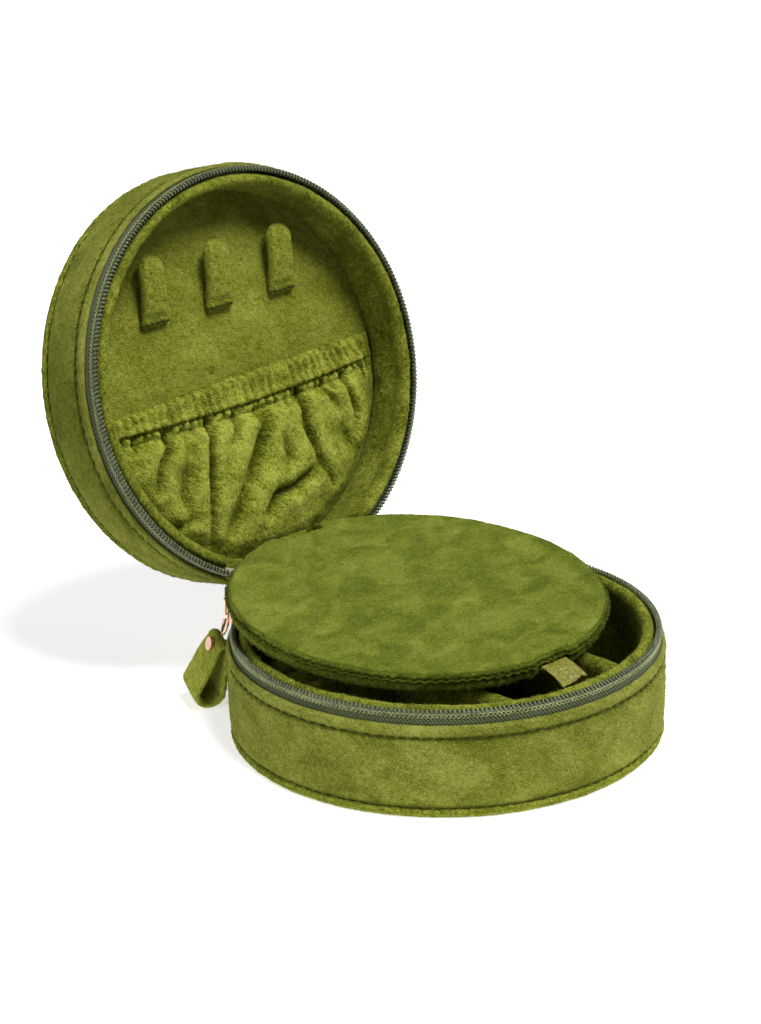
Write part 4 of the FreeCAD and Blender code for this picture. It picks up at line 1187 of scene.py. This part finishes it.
# --------------------------------------------------------------------------- padded flap
def flap_cover(side):
    """One plush half of the flap: a crushed face and a shaggy rounded edge, sewn above mid thickness."""
    top = side == "top"
    face_level = FLAP_HALF if top else -FLAP_HALF
    radius = FLAP_RADIUS
    drop = FLAP_SEAM - face_level
    shape = [
        (0, 0), (30, 0), (46, 0.01), (radius - 1.7, 0.03), (radius - 0.85, 0.12), (radius - 0.25, 0.32),
        (radius - 0.02, 0.58), (radius - 0.35, 0.84), (radius - 1.5, 0.95), (radius - 3.0, 0.97), (0, 0.97),
    ]
    outline = [(across, face_level + share * drop) for across, share in shape]
    grid = disc_grid(outline, int(820 * FINE), 0.42 / FINE)
    run = run_round(grid, radius)
    share = (grid[..., 2] - face_level) / drop
    rim = smooth_step(reach(grid), radius - 4, radius - 0.5)
    face = smooth_step(share, 0.2, 0.04)
    up = math.copysign(1.0, face_level)
    grid[..., 2] += up * face * (0.22 * noise(grid, 13.0, 131) + 0.07 * noise(grid, 5.0, 132))
    shag = flat_noise(run / 1.5, grid[..., 2] / 1.2, 133)
    slow = flat_noise(run / 6.5, 0, 134)
    grid = pushed(grid, rim * (1 - face) * (0.22 * shag + 0.18 * slow))
    grid[..., 2] += rim * smooth_step(share, 0.5, 0.9) * (0.25 * np.sin(TURN * run / 2.7) + 0.2 * slow)
    grid = plush(notched(grid), True, False, 0.095, seed=135)
    edge = rim * smooth_step(share, 0.06, 0.25)
    # The tone is painted shade: on the rounded edge, deeper on the top cover, and darker in the groove by the
    # seam.
    tone = (-0.10 if top else -0.02) * edge - 0.28 * rim * smooth_step(share, 0.72, 0.9)
    weave = np.where((edge > 0.5)[..., None], woven(run, grid[..., 2], tone), flat_map(grid, tone))
    mesh = Mesh(FLAP).grid(grid.transpose(1, 0, 2), weave.transpose(1, 0, 2))
    shaggy = edge * smooth_step(share, 0.9, 0.8)
    mesh.fluff(grid, weave, shaggy, 2.2, length=1.1, comb=(0.55, 0.55), seed=136)
    hidden = ["flap_%s_cover" % side] + (["flap_foam", "flap_board"] if top else [])
    keep(mesh.build("flap_%s_velvet" % side, VELVET_DISC), "flap", hidden)


def notched(grid):
    """The flap's grid with a notch for the strip at the back and one for the ribbon at the front."""
    x, y = grid[..., 0], grid[..., 1].copy()
    back_notch = (np.abs(x) < 7.6) & (y > 0)
    y -= np.where(back_notch, np.maximum(0, y - 45.4), 0)
    front_notch = smooth_step(np.abs(x), 7.0, 4.6) * (y < 0)
    y += front_notch * 1.3 * smooth_step(-y, 47.5, 50.5)
    return np.stack([x, y, grid[..., 2]], axis=-1)


def flap_seam():
    """Dark zigzag overlock stitches in the groove between the flap's two covers."""
    radius = FLAP_RADIUS - 0.75
    paths = []
    count = int(TURN * radius / 2.7)
    for index in range(count):
        start = index * 360 / count
        if min(start, 360 - start) < 9 or abs(start - 180) < 6.5:
            continue
        degrees = start + np.linspace(0, 1, 5) * 360 / count
        rise = FLAP_SEAM + np.array([-0.45, 0.1, 0.5, 0.0, -0.45])
        paths.append(around(radius + np.array([-0.25, 0.0, 0.12, 0.0, -0.25]), rise, degrees))
    threads("flap_seam_stitches", FLAP, paths, 0.15, THREAD, "flap", 5, 0.3)


def flap_strip():
    """Fabric strip that joins the flap to the hinge."""
    place = Place(disc_axes("flap_strip", (0, 0, 1)))
    low, high = place.box("flap_strip")
    middle, (wide, length, thick) = (low + high) / 2, high - low
    shares = np.linspace(-0.12, 1.12, int(16 * FINE) + 6)
    stations = [(share, [middle[0], low[1] + share * length, middle[2]]) for share in shares]

    def section(share):
        return rounded_section(wide, thick * 1.2, 0.4, int(72 * FINE))

    body = node = "flap_strip"
    loft("flap_strip_velvet", place, stations, section, VELVET_EDGE, body, node, 0.05, 141)


def ribbon_tab():
    """Satin ribbon with a slanting crease, sewn into the flap's front edge."""
    place = Place(disc_axes("ribbon_tab", (0, 0, 1)))
    low, high = place.box("ribbon_tab")
    across = np.linspace(-1, 1, int(48 * FINE) + 6)[:, None]
    along = np.linspace(0, 1, int(44 * FINE) + 6)[None, :]
    x = across * (high[0] - low[0]) / 2 * (1 - 0.03 * along)
    y = high[1] - along * (high[1] - low[1]) + 0 * x
    fold = x - (-1.5 + 3.6 * along)
    lift = 1.25 * np.exp(-np.abs(fold) / 1.5) * along**0.5 + 0.25 * np.sin(math.pi * along)
    lift -= 0.35 * (fold < 0) * np.minimum(-fold, 3) / 3 * along
    level = (low[2] + high[2]) / 2 + lift - 0.5 * along**3
    upper, lower = [np.stack([x, y, level + offset], -1) for offset in (0.16, -0.16)]
    tip = (upper[:, -1] + lower[:, -1]) / 2
    nose = []
    for angle in np.linspace(0, math.pi, 7)[1:-1]:
        nose.append(tip + np.array([0, -0.28 * math.sin(angle), 0.16 * math.cos(angle)]))
    closed = np.concatenate([upper, np.stack(nose, axis=1), lower[:, ::-1]], axis=1)
    face = woven(y - high[1], x)
    weave = np.concatenate([face, np.repeat(face[:, -1:], len(nose), 1), face[:, ::-1]], axis=1)
    piece = Mesh(place).grid(closed, weave).build("ribbon_tab_satin", RIBBON)
    keep(piece, "ribbon_tab", ["ribbon_tab"])


# --------------------------------------------------------------------------- hinge
def hinge_fabric():
    """Velvet that crosses the fold line on each side of the flap's strip."""
    rim = RIM_DEPTH
    degrees = np.linspace(-21, 21, int(90 * FINE) + 10)
    levels = ((57.3, rim + 1.6), (57.2, rim + 0.2), (56.9, rim - 1.0), (56.7, 1.0), (56.6, 0.1))
    rows = [around(radius, depth, degrees) for radius, depth in levels]
    base_rows = [BASE.out(row * np.array([-1, 1, 1])) for row in rows]
    lid_rows = [LID.out(row) for row in rows[::-1]]
    columns = np.array(base_rows + lid_rows).transpose(1, 0, 2)
    grid = np.array([spread(curve(column, 0.15), int(34 * FINE) + 8) for column in columns])
    normals = grid_normals(grid, False, False)
    outside = plush(grid + 0.35 * normals, False, False, 0.08, seed=151)
    inside = grid - 0.35 * normals
    closed = np.concatenate([outside, inside[:, ::-1]], axis=1)
    piece = Mesh(ROW).grid(closed).build("hinge_velvet", VELVET_EDGE)
    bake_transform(piece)
    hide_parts("hinge_fabric_base", "hinge_fabric_lid")


# --------------------------------------------------------------------------- slider and puller
def softened(node, name, body, width):
    """A rose gold copy of a hard CAD node, with rounded edges."""
    piece = linked(name, NODES[node].data.copy(), ROSE_GOLD)
    weld = piece.modifiers.new("weld", "WELD")
    weld.merge_threshold = 0.00001
    bevel = piece.modifiers.new("bevel", "BEVEL")
    bevel.width = width * MM
    bevel.segments = 3
    bevel.limit_method = "ANGLE"
    bevel.angle_limit = math.radians(35)
    evaluated = piece.evaluated_get(bpy.context.evaluated_depsgraph_get())
    final = bpy.data.meshes.new_from_object(evaluated)
    piece.modifiers.clear()
    piece.data = final
    final.polygons.foreach_set("use_smooth", [True] * len(final.polygons))
    keep(piece, body, [node])


def puller_loop():
    """Velvet band folded round the ring: the fold below is open, the neck is riveted."""
    place = puller_place()
    low, high = place.box("puller_loop")
    half_wide, band = (high[0] - low[0]) / 2, 1.7
    neck, bottom = -10.1, -23.5
    outline = np.vstack([
        arc((0, neck), 2.1, 0, 180, 9), [(-3.1, neck - 5.5)],
        arc((0, bottom), 4.6, 180, 360, 15), [(3.1, neck - 5.5)],
    ])
    outer = curve(outline, 0.4 / FINE, closed=True)
    ahead = np.roll(outer, -1, 0) - np.roll(outer, 1, 0)
    inward = unit(np.stack([-ahead[:, 1], ahead[:, 0]], -1))
    section = rounded_section(2 * half_wide, band, 0.75, int(76 * FINE))
    squeeze = smooth_step(outer[:, 1:], neck - 6, neck + 1)
    offset = band / 2 + section[:, 1] * (1 - 0.25 * squeeze)
    across = section[:, 0] * (1 - 0.12 * squeeze)
    y, z = [outer[:, k : k + 1] + inward[:, k : k + 1] * offset for k in (0, 1)]
    grid = np.stack([across, y, z], -1)
    grid = plush(grid, True, True, 0.09, seed=161)
    weave = surface_map(grid, 0.2)
    mesh = Mesh(place).grid(grid, weave, ring=True)
    mesh.fluff(grid, weave, np.ones(grid.shape[:2]), 0.7, length=0.5, comb=(-0.7, 0.2), seed=162)
    keep(mesh.build("puller_velvet_loop", VELVET_EDGE), "puller", ["puller_loop"])


# --------------------------------------------------------------------------- carried-over CAD nodes
def paint_hidden():
    """Gives the CAD nodes that stay as they are their materials."""
    painted = {
        CARD: [half + part for half in HALVES for part in ("_wall_board", "_flat_board")],
        FOAM: ["lid_foam_pad"],
        STUD_METAL: ["panel_studs"] + ["strap_socket_" + side for side in SIDES],
        ROSE_GOLD: ["pull_ring", "puller_rivet"],
    }
    for material, nodes in painted.items():
        for node in nodes:
            NODES[node].data.materials.clear()
            NODES[node].data.materials.append(material)


# --------------------------------------------------------------------------- studio
GLOW = 0.55
WORLD = 0.08
NEAR_FLOOR, FAR_FLOOR = 0.15, 3.0
SUN_ANGLE = math.radians(24)
LAMP_SIZE = 1.0
LAMPS = [
    ("key", "SUN", 3.6, (0.03, -0.48, 0.93)),
    ("side_right", "AREA", 7.0, (0.88, -0.12, 0.15)),
    ("side_left", "AREA", 6.0, (-0.90, 0.10, 0.30)),
]


def floor_piece(name, outline, faces, material):
    """A flat piece of the floor."""
    mesh = bpy.data.meshes.new(name)
    mesh.from_pydata([(x, y, 0.0) for x, y in outline], [], faces)
    piece = linked(name, mesh, material)
    return piece


def floor_material():
    """White paper that glows a little, as a floor lit from all round does."""
    material, tree = new_material("floor_paper")
    grain = noise_node(tree, object_place(tree), 500.0, 2.0)
    colour = ramp(tree, grain, [(0.3, (0.93, 0.93, 0.93)), (0.7, (0.95, 0.95, 0.95))])
    finish_material(
        tree, colour, 0.9, Specular_IOR_Level=0.1, Emission_Color=(1, 1, 1, 1), Emission_Strength=GLOW
    )
    return material


def floor():
    """White floor: its near part lights the case, and its far part only looks white."""
    material = floor_material()
    count = 64
    near, far = [arc((0, 0), radius, 0, 360, count + 1)[:-1].tolist() for radius in (NEAR_FLOOR, FAR_FLOOR)]
    floor_piece("floor_near", near, [tuple(range(count))], material)
    ring = []
    for index in range(count):
        following = (index + 1) % count
        ring.append((index, count + index, count + following, following))
    floor_piece("floor_far", near + far, ring, material).visible_diffuse = False


def lights():
    """A soft high key from the front, a soft lamp low on each side, and a faint world."""
    world = bpy.data.worlds.new("studio")
    bpy.context.scene.world = world
    world.use_nodes = True
    world.node_tree.nodes["Background"].inputs[0].default_value = (1.0, 1.0, 1.0, 1)
    world.node_tree.nodes["Background"].inputs[1].default_value = WORLD
    for name, kind, power, spot in LAMPS:
        light = bpy.data.lights.new(name, kind)
        light.energy = power
        if kind == "SUN":
            light.angle = SUN_ANGLE
        else:
            light.shape = "SQUARE"
            light.size = LAMP_SIZE
        lamp = linked(name, light)
        lamp.location = spot
        aim = Vector((0.0, 0.02, 0.05)) - Vector(spot)
        lamp.rotation_euler = aim.to_track_quat("-Z", "Y").to_euler()


def camera():
    """Long lens, about twenty degrees above the table, on the case's front left."""
    spot = Vector((-0.49449, -0.50936, 0.32407))
    aim = Vector((-0.01219, 0.01129, 0.06093))
    roll = math.radians(-1.313)
    data = bpy.data.cameras.new("camera")
    data.sensor_fit = "VERTICAL"
    data.sensor_height = 36.0
    data.sensor_width = 36.0
    data.lens = 101.75
    data.clip_start = 0.05
    data.clip_end = 20.0
    seen = linked("camera", data)
    turn = (aim - spot).to_track_quat("-Z", "Y").to_matrix().to_4x4()
    seen.matrix_world = Matrix.Translation(spot) @ turn @ Matrix.Rotation(roll, 4, "Z")
    bpy.context.scene.camera = seen


# --------------------------------------------------------------------------- the whole case
for half_name in HALVES:
    for make in (outer_wall, piping, flat_cover, zip_tape, zip_coil, lining_wall):
        make(half_name)
lining_floor()
lid_panel()
base_inside()
for strap_side in SIDES:
    strap(strap_side)
strap_anchors()
pocket()
for flap_side in ("top", "bottom"):
    flap_cover(flap_side)
flap_seam()
flap_strip()
ribbon_tab()
hinge_fabric()
puller_loop()
for half_name in HALVES:
    softened("zip_stops_" + half_name, half_name + "_zip_stops", half_name, 0.2)
softened("zip_slider_body", "zip_slider_metal", "zip_slider", 0.12)
paint_hidden()
floor()
lights()
# Plain colour management, so that the studio white and the greens are not washed out.
bpy.context.scene.view_settings.view_transform = "Standard"
camera()
